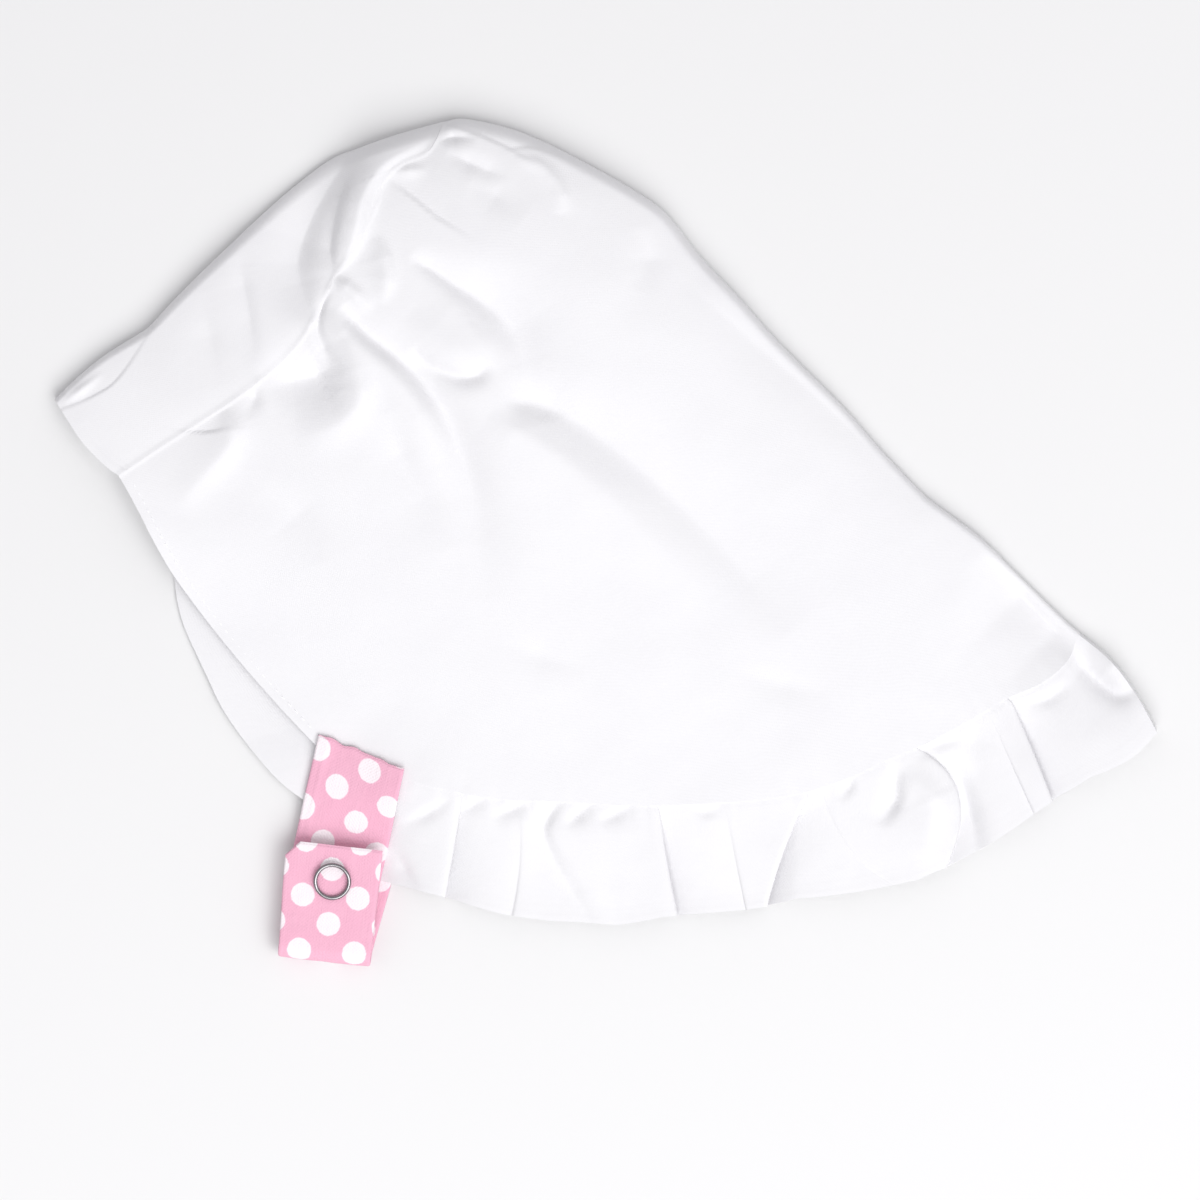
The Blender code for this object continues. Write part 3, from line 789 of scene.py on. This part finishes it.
# Rise of the pleats over the ruffle, and how far their lips move sideways
def pleated(share, down):
    rise = np.zeros(share.shape)
    shift = np.zeros(share.shape)
    for row in pleatEdges:
        edge = throughThree(*row[:3], down)
        drop = np.abs(throughThree(*row[3:6], down) * 0.001)
        fade, lip = np.array(row[6:]) * 0.001
        leftOver = np.sign(sum(row[3:6]))
        away = leftOver * (share - edge) * ruffleReach
        high = 0.5 - 0.5 * np.tanh(away / ruffle["fold"])
        steep = ruffle["steepShare"] * np.exp(-np.abs(away) / ruffle["steepReach"])
        gentle = (1 - ruffle["steepShare"]) * np.exp(-np.abs(away) / fade)
        low = drop * (steep + gentle) * (1 - high)
        bend = np.clip(drop / ruffle["bendFull"], 0, 1)
        bend = bend * np.exp(-(away / ruffle["lipWidth"]) ** 2) * high
        rise -= low + ruffle["lipDrop"] * bend
        near = np.exp(-np.abs(away) / ruffle["lipReach"]) * np.clip(drop / ruffle["lipFull"], 0, 1)
        shift += leftOver * lip * near * (high - ruffle["underShift"] * (1 - high))
    return rise, shift


def ruffleNearPlan(share, down, shift):
    share = share + shift / ruffleReach
    plan = onLine(nearNeckLine, neckShare(share)) + down[:, None] * fall(share, nearFall)
    return withEndBulges(plan, share, down)


def withEndBulges(plan, share, down):
    fromNape = (1 - share) * ruffleReach / ruffle["napeReach"]
    fromStart = share * ruffleReach / ruffle["bulgeReach"]
    nape = ruffle["napeBulge"] * swelling(down) * np.exp(-fromNape ** 2)
    start = ruffle["startBulge"] * swelling(down) * np.exp(-fromStart ** 2)
    return plan + nape[:, None] * np.array(ruffle["napeWay"]) - start[:, None] * np.array((1.0, 0.0))


def puckered(share, down):
    fade = np.exp(-down * ruffle["depth"] / ruffle["puckerReach"])
    return ruffle["pucker"] * puckerFolds(share * ruffleReach) * fade


def ruffleNearPoints(columns, down):
    share = ruffleShares(columns, down)
    shape = share.shape
    level = np.repeat(down[:, None], shape[1], axis=1).ravel()
    share = share.ravel()
    rise, shift = pleated(share, level)
    plan = ruffleNearPlan(share, level, shift)
    seamPlan = onLine(nearNeckLine, neckShare(share))
    seamTop = nearTop(seamPlan)
    hem = np.interp(share, *np.array(nearFall).T[[0, 3]]) * 0.001
    top = seamTop + (hem - seamTop) * ease(level)
    top += rise + ruffle["creaseDepth"] * creased(plan, ruffleCreases)
    fromStart = share * ruffleReach / ruffle["startReach"]
    top -= ruffle["startDrop"] * np.exp(-fromStart) * ease(2 * level)
    over = np.logaddexp(0, (top - ruffle["least"]) / ruffle["soften"])
    top = ruffle["least"] + over * ruffle["soften"]
    relief = hemRelief((1 - level) * ruffle["depth"], ruffle["hemBand"], ruffle["hemRise"])
    size = cap["crumpleSize"] * ruffle["crumple"]
    relief += ruffle["crumple"] * cap["crumple"] * crumpled(plan, size, 5.0)
    free = ease(level / ruffle["freeFrom"])
    relief = free * relief + (1 - free) * bodyRelief(seamPlan)
    relief += puckered(share, level) - puckered(share, 0 * level) * (1 - free)
    return np.column_stack((plan, nearHeight(plan, top, relief))).reshape(*shape, 3)


def makeRuffle():
    start = -cap["seamLap"] / ruffle["depth"]
    down = start + (1 - start) * np.linspace(0, 1, ruffle["rows"])
    near = ruffleNearPoints(ruffleColumns(), down)
    share = 1 - np.linspace(0, 1, ruffle["farColumns"])[1:]
    share, level = np.meshgrid(share, down)
    shape = share.shape
    share = share.ravel()
    level = level.ravel()
    plan = onLine(farNeckLine, neckShare(share)) + level[:, None] * fall(share, farFall)
    plan = withEndBulges(plan, share, level)
    far = np.column_stack((plan, farHeight(plan, ruffle["wall"]))).reshape(*shape, 3)
    points = np.concatenate((near, far), axis=1)
    made = gridMesh("neck_ruffle_cloth", points, flatCoordinates(points))
    return thicken(made, ruffle["wall"])


# Rows of small thread stitches
stitch = {
    "pitch": 0.0026,
    "offset": 0.3,
    "length": 0.0019,
    "radius": 0.00016,
    "sides": 6,
    "rise": 0.00008,
    "swell": (0.25, 0.9, 1.0, 1.0, 0.9, 0.25),
    "sink": (1.6, 0.4, 0.0, 0.0, 0.4, 1.6),
    "fromEdge": 0.0024,
}


def makeStitches(name, path):
    reach = lineReach(path)
    starts = (np.arange(int(reach[-1] / stitch["pitch"])) + stitch["offset"]) * stitch["pitch"]
    count = len(stitch["swell"])
    sides = stitch["sides"]
    share = np.linspace(0, 1, count)
    lift = stitch["rise"] - stitch["radius"] * np.array(stitch["sink"])
    turns = np.linspace(0, 2 * math.pi, sides, endpoint=False)
    points = []
    faces = []
    for start in starts:
        middle = onLine(path, (start + share * stitch["length"]) / reach[-1])
        way = middle[-1] - middle[0]
        way /= np.linalg.norm(way)
        sideways = np.cross(way, (0.0, 0.0, 1.0))
        sideways /= np.linalg.norm(sideways)
        up = np.cross(sideways, way)
        first = len(points)
        for spot, size, low in zip(middle, stitch["swell"], lift):
            for turn in turns:
                across = math.cos(turn) * sideways + math.sin(turn) * up
                points.append(spot + low * up + stitch["radius"] * size * across)
        for row in range(first, first + (count - 1) * sides, sides):
            for side in range(sides):
                a = row + side
                b = row + (side + 1) % sides
                faces.append((a, b, b + sides, a + sides))
        faces.append(tuple(range(first + sides - 1, first - 1, -1)))
        faces.append(tuple(range(len(points) - sides, len(points))))
    made = newPiece(name, points, faces)
    made.data.shade_smooth()
    return made


def onBody(plan):
    return np.column_stack((plan, bodyHeight(plan) + body["wall"] / 2))


# Dotted chin strap and its tab: flat bands with round edges
strap = {
    "width": 0.0250,
    "wall": 0.0013,
    "gap": 0.0003,
    "lap": 0.0035,
    "lift": 0.0002,
    "tabLength": 0.0357,
    "tabPastSnap": 0.0070,
    "snapToEnd": 0.0097,
    "snapToFold": 0.0220,
    "snapTurn": -6.5,
    "tabRootTurn": -21.9,
    "farRootTurn": -16.0,
    "tabHeading": -102.5,
    "tabLevelShare": 3.4,
    "tabHem": 0.0098,
    "tabHemDepth": 0.00025,
    "tabHemWidth": 0.0006,
    "farRootShare": 0.055,
    "endRise": 0.0012,
    "endSpread": 0.0009,
    "spreadFrom": 30.0,
    "spreadRun": 25.0,
    "cornerCut": 0.0040,
    "cornerDepth": 0.0036,
    "ruffleSide": 0.010,
    "ruffleReach": 0.014,
    "ruffleLift": 0.0005,
    "ripple": 0.00020,
    "rippleSize": (0.0045, 0.0065),
    "fray": 0.0007,
    "frayPitch": 0.0035,
    "frayReach": 0.003,
    "endWall": 0.00001,
    "tabRows": 110,
    "strapRows": (70, 26, 64),
    "acrossPoints": 44,
    "edgePoints": 5,
    "tabDot": (0.0104, 0.0118, 0.0),
    "dotFromSnap": (0.0073, -0.0038),
}
coreLow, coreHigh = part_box("snap_core")
snapPlace = np.array(ringCentre)[:2]
lowerLevel = strap["wall"] / 2 + strap["lift"]
tabLevel = coreLow[2] - strap["gap"] - strap["wall"] / 2
upperLevel = coreHigh[2] + strap["gap"] + strap["wall"] / 2


def heading(degrees):
    return np.array((math.cos(math.radians(degrees)), math.sin(math.radians(degrees))))


strapWay = heading(strap["snapTurn"] - 90)
tabWay = heading(strap["tabHeading"])
tabRoot = snapPlace - strap["tabLength"] * tabWay
farRootWay = heading(strap["farRootTurn"] - 90)
farRoot = onLine(farNeckLine, strap["farRootShare"]) - strap["lap"] * farRootWay


# A band along centre points; left and right are its half widths on the two sides
def makeBand(name, centre, sideways, left, right, waves):
    way = units(np.gradient(centre, axis=0))
    up = units(np.cross(sideways, way))
    reach = lineReach(centre)
    half = strap["wall"] / 2
    count = strap["acrossPoints"]
    edge = strap["edgePoints"]
    across = np.linspace(-1, 1, count)
    turns = np.linspace(-0.5, 0.5, edge + 2)[1:-1] * math.pi
    rows = []
    flats = []
    for row in range(len(centre)):
        fromEnd = min(reach[row], reach[-1] - reach[row])
        thick = half * math.sqrt(1 - max(0.0, 1 - fromEnd / half) ** 2) + strap["endWall"]
        middle = 0.5 * (right[row] - left[row])
        reachOut = 0.5 * (right[row] + left[row]) - half
        wave = waves(middle + across * reachOut, row)
        top = [(middle + x * reachOut, thick + w) for x, w in zip(across, wave)]
        bottom = [(x, z - 2 * thick) for x, z in reversed(top)]
        edges = []
        for side, level in ((1, wave[-1]), (-1, wave[0])):
            edges.append([
                (middle + side * (reachOut + half * math.cos(turn)), level - side * thick * math.sin(turn))
                for turn in turns
            ])
        section = np.array(top + edges[0] + bottom + edges[1])
        frayed = noiseAlong(section[:, 0], strap["frayPitch"], 53.0)[:, None]
        slip = strap["fray"] * frayed * math.exp(-reach[row] / strap["frayReach"])
        spread = section[:, :1] * sideways[row] + slip * way[row]
        rows.append(centre[row] + spread + section[:, 1:] * up[row])
        flats.append(np.column_stack((section[:, 0], np.full(len(section), reach[row]))))
    points = np.array(rows)
    index = np.arange(points.shape[0] * points.shape[1]).reshape(points.shape[:2])
    following = np.roll(index, -1, axis=1)
    corners = (index[:-1], index[1:], following[1:], following[:-1])
    faces = np.stack(corners, axis=-1).reshape(-1, 4).tolist()
    for row, order in ((0, -1), (-1, 1)):
        top = index[row, :count]
        bottom = index[row, count + edge:2 * count + edge][::-1]
        for step in range(count - 1):
            quad = [top[step], top[step + 1], bottom[step + 1], bottom[step]]
            faces.append(quad[::order])
        faces.append(index[row, count - 1:count + edge + 1].tolist()[::order])
        faces.append((index[row, 2 * count + edge - 1:].tolist() + [index[row, 0]])[::order])
    made = newPiece(name, points.reshape(-1, 3).tolist(), faces, np.array(flats))
    made.data.shade_smooth()
    return made


# Directions across a band that turns from its root's angle to the snap's
def turnedFrom(root, share):
    degrees = strap[root] + (strap["snapTurn"] - strap[root]) * share
    return np.array([(math.cos(a), math.sin(a), 0.0) for a in np.radians(degrees)])


def rippled(x, reach, seed):
    size, rowSize = strap["rippleSize"]
    return strap["ripple"] * noiseAlong(x, size, seed, reach / rowSize)


def makeTab():
    reach = np.linspace(0, strap["tabLength"] + strap["tabPastSnap"], strap["tabRows"])
    centre = tabRoot + np.minimum(reach, strap["tabLength"])[:, None] * tabWay
    centre = centre + np.clip(reach - strap["tabLength"], 0, None)[:, None] * strapWay
    sideways = turnedFrom("tabRootTurn", ease(reach / strap["tabLength"]))
    half = strap["width"] / 2
    across = np.linspace(-1, 1, strap["acrossPoints"]) * (half - strap["wall"] / 2)
    plan = centre[:, None] + across[None, :, None] * sideways[:, None, :2]
    cloth = bodyHeight(plan.reshape(-1, 2)).reshape(plan.shape[:2])
    cloth += (body["wall"] + strap["wall"]) / 2 + strap["gap"]
    overRuffle = ease(across / strap["ruffleSide"]) * np.exp(-reach[:, None] / strap["ruffleReach"])
    cloth += strap["ruffleLift"] * overRuffle
    levelRun = strap["tabLength"] - strap["tabLevelShare"] * strap["lap"]
    past = ease((reach - strap["lap"]) / levelRun)
    level = cloth.mean(axis=1) * (1 - past) + tabLevel * past
    points = np.column_stack((centre, level))
    width = np.full(len(reach), half)

    # the tab's own up points at the floor, so cloth that rises has a falling wave
    def tabWaves(x, row):
        onCloth = (cloth[row] - cloth[row].mean()) * (1 - past[row])
        hem = -strap["tabHemDepth"] * np.exp(-((x + strap["tabHem"]) / strap["tabHemWidth"]) ** 2)
        return hem - onCloth - rippled(x, reach[row], 31.0)

    return makeBand("strap_tab_cloth", points, sideways, width, width, tabWaves)


foldRadius = (upperLevel - lowerLevel) / 2
bend = snapPlace + (strap["snapToFold"] - strap["wall"] / 2 - foldRadius) * strapWay


# Middle of the chin strap: along the floor, round its fold, and back over the tab
def strapCentre():
    end = snapPlace - strap["snapToEnd"] * strapWay
    lowerRows, arcRows, upperRows = strap["strapRows"]
    lower = farRoot + np.linspace(0, 1, lowerRows)[:-1, None] * (bend - farRoot)
    angles = np.linspace(-0.5 * math.pi, 0.5 * math.pi, arcRows)
    arc = bend + foldRadius * np.cos(angles)[:, None] * strapWay
    arcLevel = (upperLevel + lowerLevel) / 2 + foldRadius * np.sin(angles)
    back = np.linspace(0, 1, upperRows)[1:, None]
    upper = bend + back * (end - bend)
    upperLevels = upperLevel + strap["endRise"] * back[:, 0] ** 2
    level = np.concatenate((np.full(len(lower), lowerLevel), arcLevel, upperLevels))
    return np.column_stack((np.vstack((lower, arc, upper)), level))


def makeChinStrap():
    centre = strapCentre()
    reach = lineReach(centre)
    sideways = turnedFrom("farRootTurn", ease(reach / np.linalg.norm(bend - farRoot)))
    half = strap["width"] / 2
    toEnd = reach[-1] - reach
    cut = np.clip(1 - toEnd / strap["cornerCut"], 0, 1)
    wider = ease((strap["spreadFrom"] - toEnd * 1000) / strap["spreadRun"])  # in millimetres
    left = half + strap["endSpread"] * wider - strap["cornerDepth"] * cut
    right = np.full(len(reach), half)

    def strapWaves(x, row):
        return rippled(x, reach[row], 41.0)

    return makeBand("chin_strap_cloth", centre, sideways, left, right, strapWaves)


# Open wire ring of the snap, pressed into the strap
ring = {
    "radius": 0.00455,
    "wire": 0.00055,
    "tilt": 9.0,
    "rise": 0.0005,
    "wireRise": 1.1,
    "strapRise": 0.4,
    "steps": 96,
    "sides": 20,
}


def makeRing():
    bpy.ops.mesh.primitive_torus_add(
        major_segments=ring["steps"],
        minor_segments=ring["sides"],
        major_radius=ring["radius"],
        minor_radius=ring["wire"],
    )
    made = bpy.context.object
    made.name = "snap_ring_wire"
    made.data.name = "snap_ring_wire"
    made.rotation_euler = (math.radians(ring["tilt"]), 0, math.radians(strap["snapTurn"]))
    level = upperLevel + strap["wall"] / 2 + strap["endRise"] * ring["strapRise"]
    level += ring["wire"] * ring["wireRise"]
    made.location = (*snapPlace, level + ring["rise"])
    made.data.shade_smooth()
    return made


# Sets a socket to a value, or links it to the output of another node
def feed(tree, socket, value):
    if isinstance(value, tuple):
        socket.default_value = (*value, 1.0) if socket.type == "RGBA" else value
    elif isinstance(value, (int, float)):
        socket.default_value = value
    elif value is not None:
        tree.links.new(value, socket)


# A shader node with its inputs, by label or number, and its settings
def addNode(tree, kind, inputs, **settings):
    node = tree.nodes.new("ShaderNode" + kind)
    for label, value in settings.items():
        setattr(node, label, value)
    for label, value in inputs.items():
        feed(tree, node.inputs[label], value)
    return node


def addMath(tree, kind, *values):
    return addNode(tree, "Math", dict(enumerate(values)), operation=kind).outputs[0]


def addVector(tree, kind, *values):
    return addNode(tree, "VectorMath", dict(enumerate(values)), operation=kind).outputs["Vector"]


def addNoise(tree, place, scale, detail=2.0, roughness=0.5):
    inputs = {"Vector": place, "Scale": scale, "Detail": detail, "Roughness": roughness}
    return addNode(tree, "TexNoise", inputs).outputs["Fac"]


def addBump(tree, height, distance, strength, before=None):
    inputs = {"Height": height, "Distance": distance, "Strength": strength, "Normal": before}
    return addNode(tree, "Bump", inputs).outputs["Normal"]


def addMix(tree, share, first, second):
    node = addNode(tree, "Mix", {}, data_type="RGBA")
    sockets = {(socket.name, socket.type): socket for socket in node.inputs}
    feed(tree, sockets["Factor", "VALUE"], share)
    feed(tree, sockets["A", "RGBA"], first)
    feed(tree, sockets["B", "RGBA"], second)
    return [socket for socket in node.outputs if socket.type == "RGBA"][0]


def addGroup(tree, group, inputs):
    node = addNode(tree, "Group", {}, node_tree=group)
    for label, value in inputs.items():
        feed(tree, node.inputs[label], value)
    return node.outputs


# A node group; an input without a value takes a place, the others take numbers
def newGroup(name, inputs, *outputs):
    group = bpy.data.node_groups.new(name, "ShaderNodeTree")
    for label, value in inputs.items():
        kind = "NodeSocketVector" if value is None else "NodeSocketFloat"
        socket = group.interface.new_socket(name=label, in_out="INPUT", socket_type=kind)
        if value is not None:
            socket.default_value = value
    for label in outputs:
        group.interface.new_socket(name=label, in_out="OUTPUT", socket_type="NodeSocketFloat")
    given = group.nodes.new("NodeGroupInput").outputs
    return group, given, group.nodes.new("NodeGroupOutput").inputs


# Plain weave with thicker threads here and there, from the cloth's flat coordinates
weaveShape = {
    "slubLong": 160.0,
    "slubWide": 2400.0,
    "threadShare": 0.35,
}


def makeWeaveGroup():
    inputs = {"Flat": None, "Thread": 0.0004, "Slub Along": 1.0, "Slub Across": 1.0}
    group, given, result = newGroup("plainWeave", inputs, "Height", "Shade")
    place = addNode(group, "SeparateXYZ", {0: given["Flat"]}).outputs
    turned = addMath(group, "DIVIDE", math.pi, given["Thread"])
    over = addMath(group, "COSINE", addMath(group, "MULTIPLY", place[0], turned))
    under = addMath(group, "COSINE", addMath(group, "MULTIPLY", place[1], turned))
    threads = addMath(group, "MULTIPLY", over, under)
    slubs = []
    long, wide = weaveShape["slubLong"], weaveShape["slubWide"]
    for label, density in (("Slub Along", (long, wide, 1.0)), ("Slub Across", (wide, long, 1.0))):
        slub = addNoise(group, addVector(group, "MULTIPLY", given["Flat"], density), 1.0)
        slub = addMath(group, "SUBTRACT", slub, 0.5)
        slubs.append(addMath(group, "MULTIPLY", slub, given[label]))
    slub = addMath(group, "ADD", *slubs)
    feed(group, result["Height"], addMath(group, "MULTIPLY_ADD", threads, weaveShape["threadShare"], slub))
    feed(group, result["Shade"], addMath(group, "MULTIPLY_ADD", slub, 0.5, 0.5))
    return group


# Soft mottling and small crinkles of washed cotton, from places in metres
def makeWashedGroup():
    inputs = {"Place": None, "Patch": 60.0, "Crinkle": 420.0}
    group, given, result = newGroup("washedCloth", inputs, "Tone", "Height")
    feed(group, result["Tone"], addNoise(group, given["Place"], given["Patch"], 3.0, 0.55))
    feed(group, result["Height"], addNoise(group, given["Place"], given["Crinkle"], 2.0, 0.5))
    return group


# Evenly spaced round dots on a turned square lattice, a little uneven at the rim
dotShape = {
    "rimGrain": 900.0,
    "rimWobble": 0.0005,
}


def makeDotGroup():
    inputs = {"Flat": None, "Pitch": 0.0105, "Radius": 0.0032, "Turn": 0.0, "Start": None, "Fuzz": 0.0003}
    group, given, result = newGroup("roundDots", inputs, "Mask")
    fromStart = addVector(group, "SUBTRACT", given["Flat"], given["Start"])
    rough = addNoise(group, given["Flat"], dotShape["rimGrain"])
    turning = {"Vector": fromStart, "Angle": given["Turn"]}
    turned = addNode(group, "VectorRotate", turning, rotation_type="Z_AXIS").outputs[0]
    place = addNode(group, "SeparateXYZ", {0: turned}).outputs
    squares = []
    for axis in (0, 1):
        cell = addMath(group, "ADD", addMath(group, "DIVIDE", place[axis], given["Pitch"]), 0.5)
        off = addMath(group, "SUBTRACT", addMath(group, "FRACT", cell), 0.5)
        off = addMath(group, "MULTIPLY", off, given["Pitch"])
        squares.append(addMath(group, "MULTIPLY", off, off))
    distance = addMath(group, "SQRT", addMath(group, "ADD", *squares))
    wobble = addMath(group, "MULTIPLY_ADD", rough, dotShape["rimWobble"], -dotShape["rimWobble"] / 2)
    past = addMath(group, "SUBTRACT", given["Radius"], addMath(group, "ADD", distance, wobble))
    mask = addMath(group, "ADD", addMath(group, "DIVIDE", past, given["Fuzz"]), 0.5)
    feed(group, result["Mask"], addNode(group, "Clamp", {0: mask}).outputs[0])
    return group


weaveGroup = makeWeaveGroup()
washedGroup = makeWashedGroup()
dotGroup = makeDotGroup()


def newMaterial(name, colour, roughness):
    material = bpy.data.materials.new(name)
    material.use_nodes = True
    tree = material.node_tree
    inputs = tree.nodes["Principled BSDF"].inputs
    feed(tree, inputs["Base Color"], colour)
    feed(tree, inputs["Roughness"], roughness)
    return material, tree, inputs


def objectPlace(tree):
    return addNode(tree, "TexCoord", {}).outputs["Object"]


# White cotton of the cap; tone and weaveTone say how far the washed patches and the
# weave draw its colour towards its shade
whiteLook = {
    "colour": (0.822, 0.820, 0.829),
    "shade": (0.776, 0.770, 0.792),
    "tone": (0.5, 0.0),
    "weaveTone": 0.5,
    "roughness": 0.92,
    "sheen": 0.10,
    "weave": {"Thread": 0.00042, "Slub Along": 0.8, "Slub Across": 0.6},
    "weaveBump": (0.00006, 0.6),
    "washed": {"Patch": 45.0, "Crinkle": 330.0},
    "crinkleBump": (0.00010, 0.6),
}
# Pink cotton of the strap, printed with white dots
pinkLook = {
    "colour": (0.84, 0.470, 0.590),
    "shade": (0.80, 0.390, 0.530),
    "tone": (0.6, -0.1),
    "weaveTone": 0.6,
    "roughness": 0.88,
    "sheen": 0.10,
    "weave": {"Thread": 0.00048, "Slub Along": 0.5, "Slub Across": 1.6},
    "weaveBump": (0.00014, 0.7),
    "washed": {"Patch": 110.0, "Crinkle": 500.0},
    "crinkleBump": (0.0002, 0.5),
    "dots": {"Pitch": 0.0105, "Radius": 0.0032, "Turn": math.radians(42.5)},
    "dotColour": (0.900, 0.840, 0.870),
    "dotCover": 0.94,
}
# plain is the colour of a viewer that draws no nodes
threadLook = {
    "plain": (0.93, 0.93, 0.94),
    "colour": (0.95, 0.95, 0.96),
    "shade": (0.86, 0.86, 0.88),
    "roughness": 0.75,
    "twist": (5000.0, 5000.0, 2500.0),
    "bump": (0.0001, 0.5),
}
steelLook = {
    "plain": (0.46, 0.45, 0.46),
    "colour": (0.36, 0.35, 0.36),
    "shade": (0.20, 0.19, 0.20),
    "dull": (400.0, 2.0),
    "rubbed": (1400.0, 3.0),
    "roughness": (0.22, 0.10),
    "bump": (0.00002, 0.3),
}


# Washed cotton, with printed dots when the place of one of them is given
def makeCotton(name, look, dotPlace=None):
    material, tree, inputs = newMaterial(name, look["colour"], look["roughness"])
    flat = addNode(tree, "UVMap", {}, uv_map="flat").outputs[0]
    weave = addGroup(tree, weaveGroup, {"Flat": flat, **look["weave"]})
    washed = addGroup(tree, washedGroup, {"Place": objectPlace(tree), **look["washed"]})
    tone = addMath(tree, "MULTIPLY_ADD", washed["Tone"], *look["tone"])
    shade = addMath(tree, "MULTIPLY_ADD", weave["Shade"], look["weaveTone"], tone)
    colour = addMix(tree, shade, look["colour"], look["shade"])
    if dotPlace:
        dots = addGroup(tree, dotGroup, {"Flat": flat, "Start": dotPlace, **look["dots"]})
        cover = addMath(tree, "MULTIPLY", dots["Mask"], look["dotCover"])
        colour = addMix(tree, cover, colour, look["dotColour"])
    crinkled = addBump(tree, washed["Height"], *look["crinkleBump"])
    feed(tree, inputs["Base Color"], colour)
    feed(tree, inputs["Normal"], addBump(tree, weave["Height"], *look["weaveBump"], crinkled))
    feed(tree, inputs["Sheen Weight"], look["sheen"])
    return material


def makeWhiteThread():
    material, tree, inputs = newMaterial("white_thread", threadLook["plain"], threadLook["roughness"])
    twist = addNoise(tree, addVector(tree, "MULTIPLY", objectPlace(tree), threadLook["twist"]), 1.0)
    feed(tree, inputs["Base Color"], addMix(tree, twist, threadLook["colour"], threadLook["shade"]))
    feed(tree, inputs["Normal"], addBump(tree, twist, *threadLook["bump"]))
    return material


def makeSnapSteel():
    material, tree, inputs = newMaterial("snap_steel", steelLook["plain"], steelLook["roughness"][0])
    place = objectPlace(tree)
    rubbed = addNoise(tree, place, *steelLook["rubbed"])
    dull = addNoise(tree, place, *steelLook["dull"])
    feed(tree, inputs["Metallic"], 1.0)
    feed(tree, inputs["Roughness"], addMath(tree, "MULTIPLY_ADD", rubbed, *steelLook["roughness"]))
    feed(tree, inputs["Base Color"], addMix(tree, dull, steelLook["colour"], steelLook["shade"]))
    feed(tree, inputs["Normal"], addBump(tree, rubbed, *steelLook["bump"]))
    return material


whiteCotton = makeCotton("white_cotton", whiteLook)
whiteThread = makeWhiteThread()
tabCotton = makeCotton("pink_cotton_tab", pinkLook, strap["tabDot"])
snapReach = lineReach(strapCentre())[-1] - strap["snapToEnd"]
strapDot = (strap["dotFromSnap"][0], snapReach + strap["dotFromSnap"][1], 0.0)
strapCotton = makeCotton("pink_cotton_strap", pinkLook, strapDot)
snapSteel = makeSnapSteel()
print("materials made")

frontPanel = dressed(makeFrontPanel(), whiteCotton, "white_cotton", "front_panel")
print("front panel made")
backBody = dressed(makeBody(), whiteCotton, "white_cotton", "back_body")
print("body made")
neckRuffle = dressed(makeRuffle(), whiteCotton, "white_cotton", "neck_ruffle")
print("ruffle made")
faceStitchLine = onBody(beside(nearFaceLine, -stitch["fromEdge"])[4:-2])
faceStitches = dressed(makeStitches("face_stitches", faceStitchLine), whiteThread, "white_cotton")
strapTab = dressed(makeTab(), tabCotton, "pink_cotton", "strap_tab")
chinStrap = dressed(makeChinStrap(), strapCotton, "pink_cotton", "chin_strap")
snapRing = dressed(makeRing(), snapSteel, "snap_steel", "snap_ring")
snapCore = bpy.data.objects["snap_core"]
snapCore.data.materials.clear()
snapCore.data.materials.append(snapSteel)
print("strap and snap made")

# Floor, lights and camera
stage = {
    "floorSize": 3.0,
    "floorColour": (0.78, 0.78, 0.78),
    "floorRoughness": 0.85,
    "world": 0.69,
    "horizon": 0.60,
    "fullFrom": 0.8,
    "worldTint": (0.985, 0.975, 1.0),
    "cameraHeight": 1.5,
    "lens": 166.5,
    "frameMiddle": (-0.0017, -0.0155),
}
# Soft lights: name, power, size, distance, turn from +X and height in degrees
lamps = (
    ("front_light", 15.4, 1.2, 1.6, -74.0, 54.0),
    ("side_light", 72.0, 3.0, 6.0, -28.0, 54.0),
)


def makeWorld():
    world = bpy.data.worlds.new("studio")
    world.use_nodes = True
    tree = world.node_tree
    background = tree.nodes["Background"].inputs
    way = addNode(tree, "TexCoord", {}).outputs["Generated"]
    height = addNode(tree, "SeparateXYZ", {0: way}).outputs[2]
    strength = addNode(tree, "MapRange", {
        "Value": height,
        "From Min": 0.0,
        "From Max": stage["fullFrom"],
        "To Min": stage["world"] * stage["horizon"],
        "To Max": stage["world"],
    }).outputs[0]
    feed(tree, background["Strength"], strength)
    feed(tree, background["Color"], stage["worldTint"])
    scene.world = world


def makeLamp(name, power, size, distance, turn, height):
    light = bpy.data.lights.new(name, "AREA")
    light.energy = power
    light.size = size
    turn = math.radians(turn)
    height = math.radians(height)
    level = math.cos(height)
    way = Vector((math.cos(turn) * level, math.sin(turn) * level, math.sin(height)))
    lamp = newObject(name, light)
    lamp.location = way * distance
    lamp.rotation_euler = way.to_track_quat("Z", "Y").to_euler()


def makeStage():
    bpy.ops.mesh.primitive_plane_add(size=stage["floorSize"])
    floor = bpy.context.object
    floor.name = "floor"
    floor.data.materials.append(newMaterial("floor", stage["floorColour"], stage["floorRoughness"])[0])
    makeWorld()
    for row in lamps:
        makeLamp(*row)
    camera = bpy.data.cameras.new("camera")
    camera.lens = stage["lens"]
    camera.sensor_width = 36.0
    camera.clip_start = 0.05
    scene.camera = newObject("camera", camera)
    scene.camera.location = (*stage["frameMiddle"], stage["cameraHeight"])
    scene.view_settings.view_transform = "Standard"


makeStage()
print("stage made")
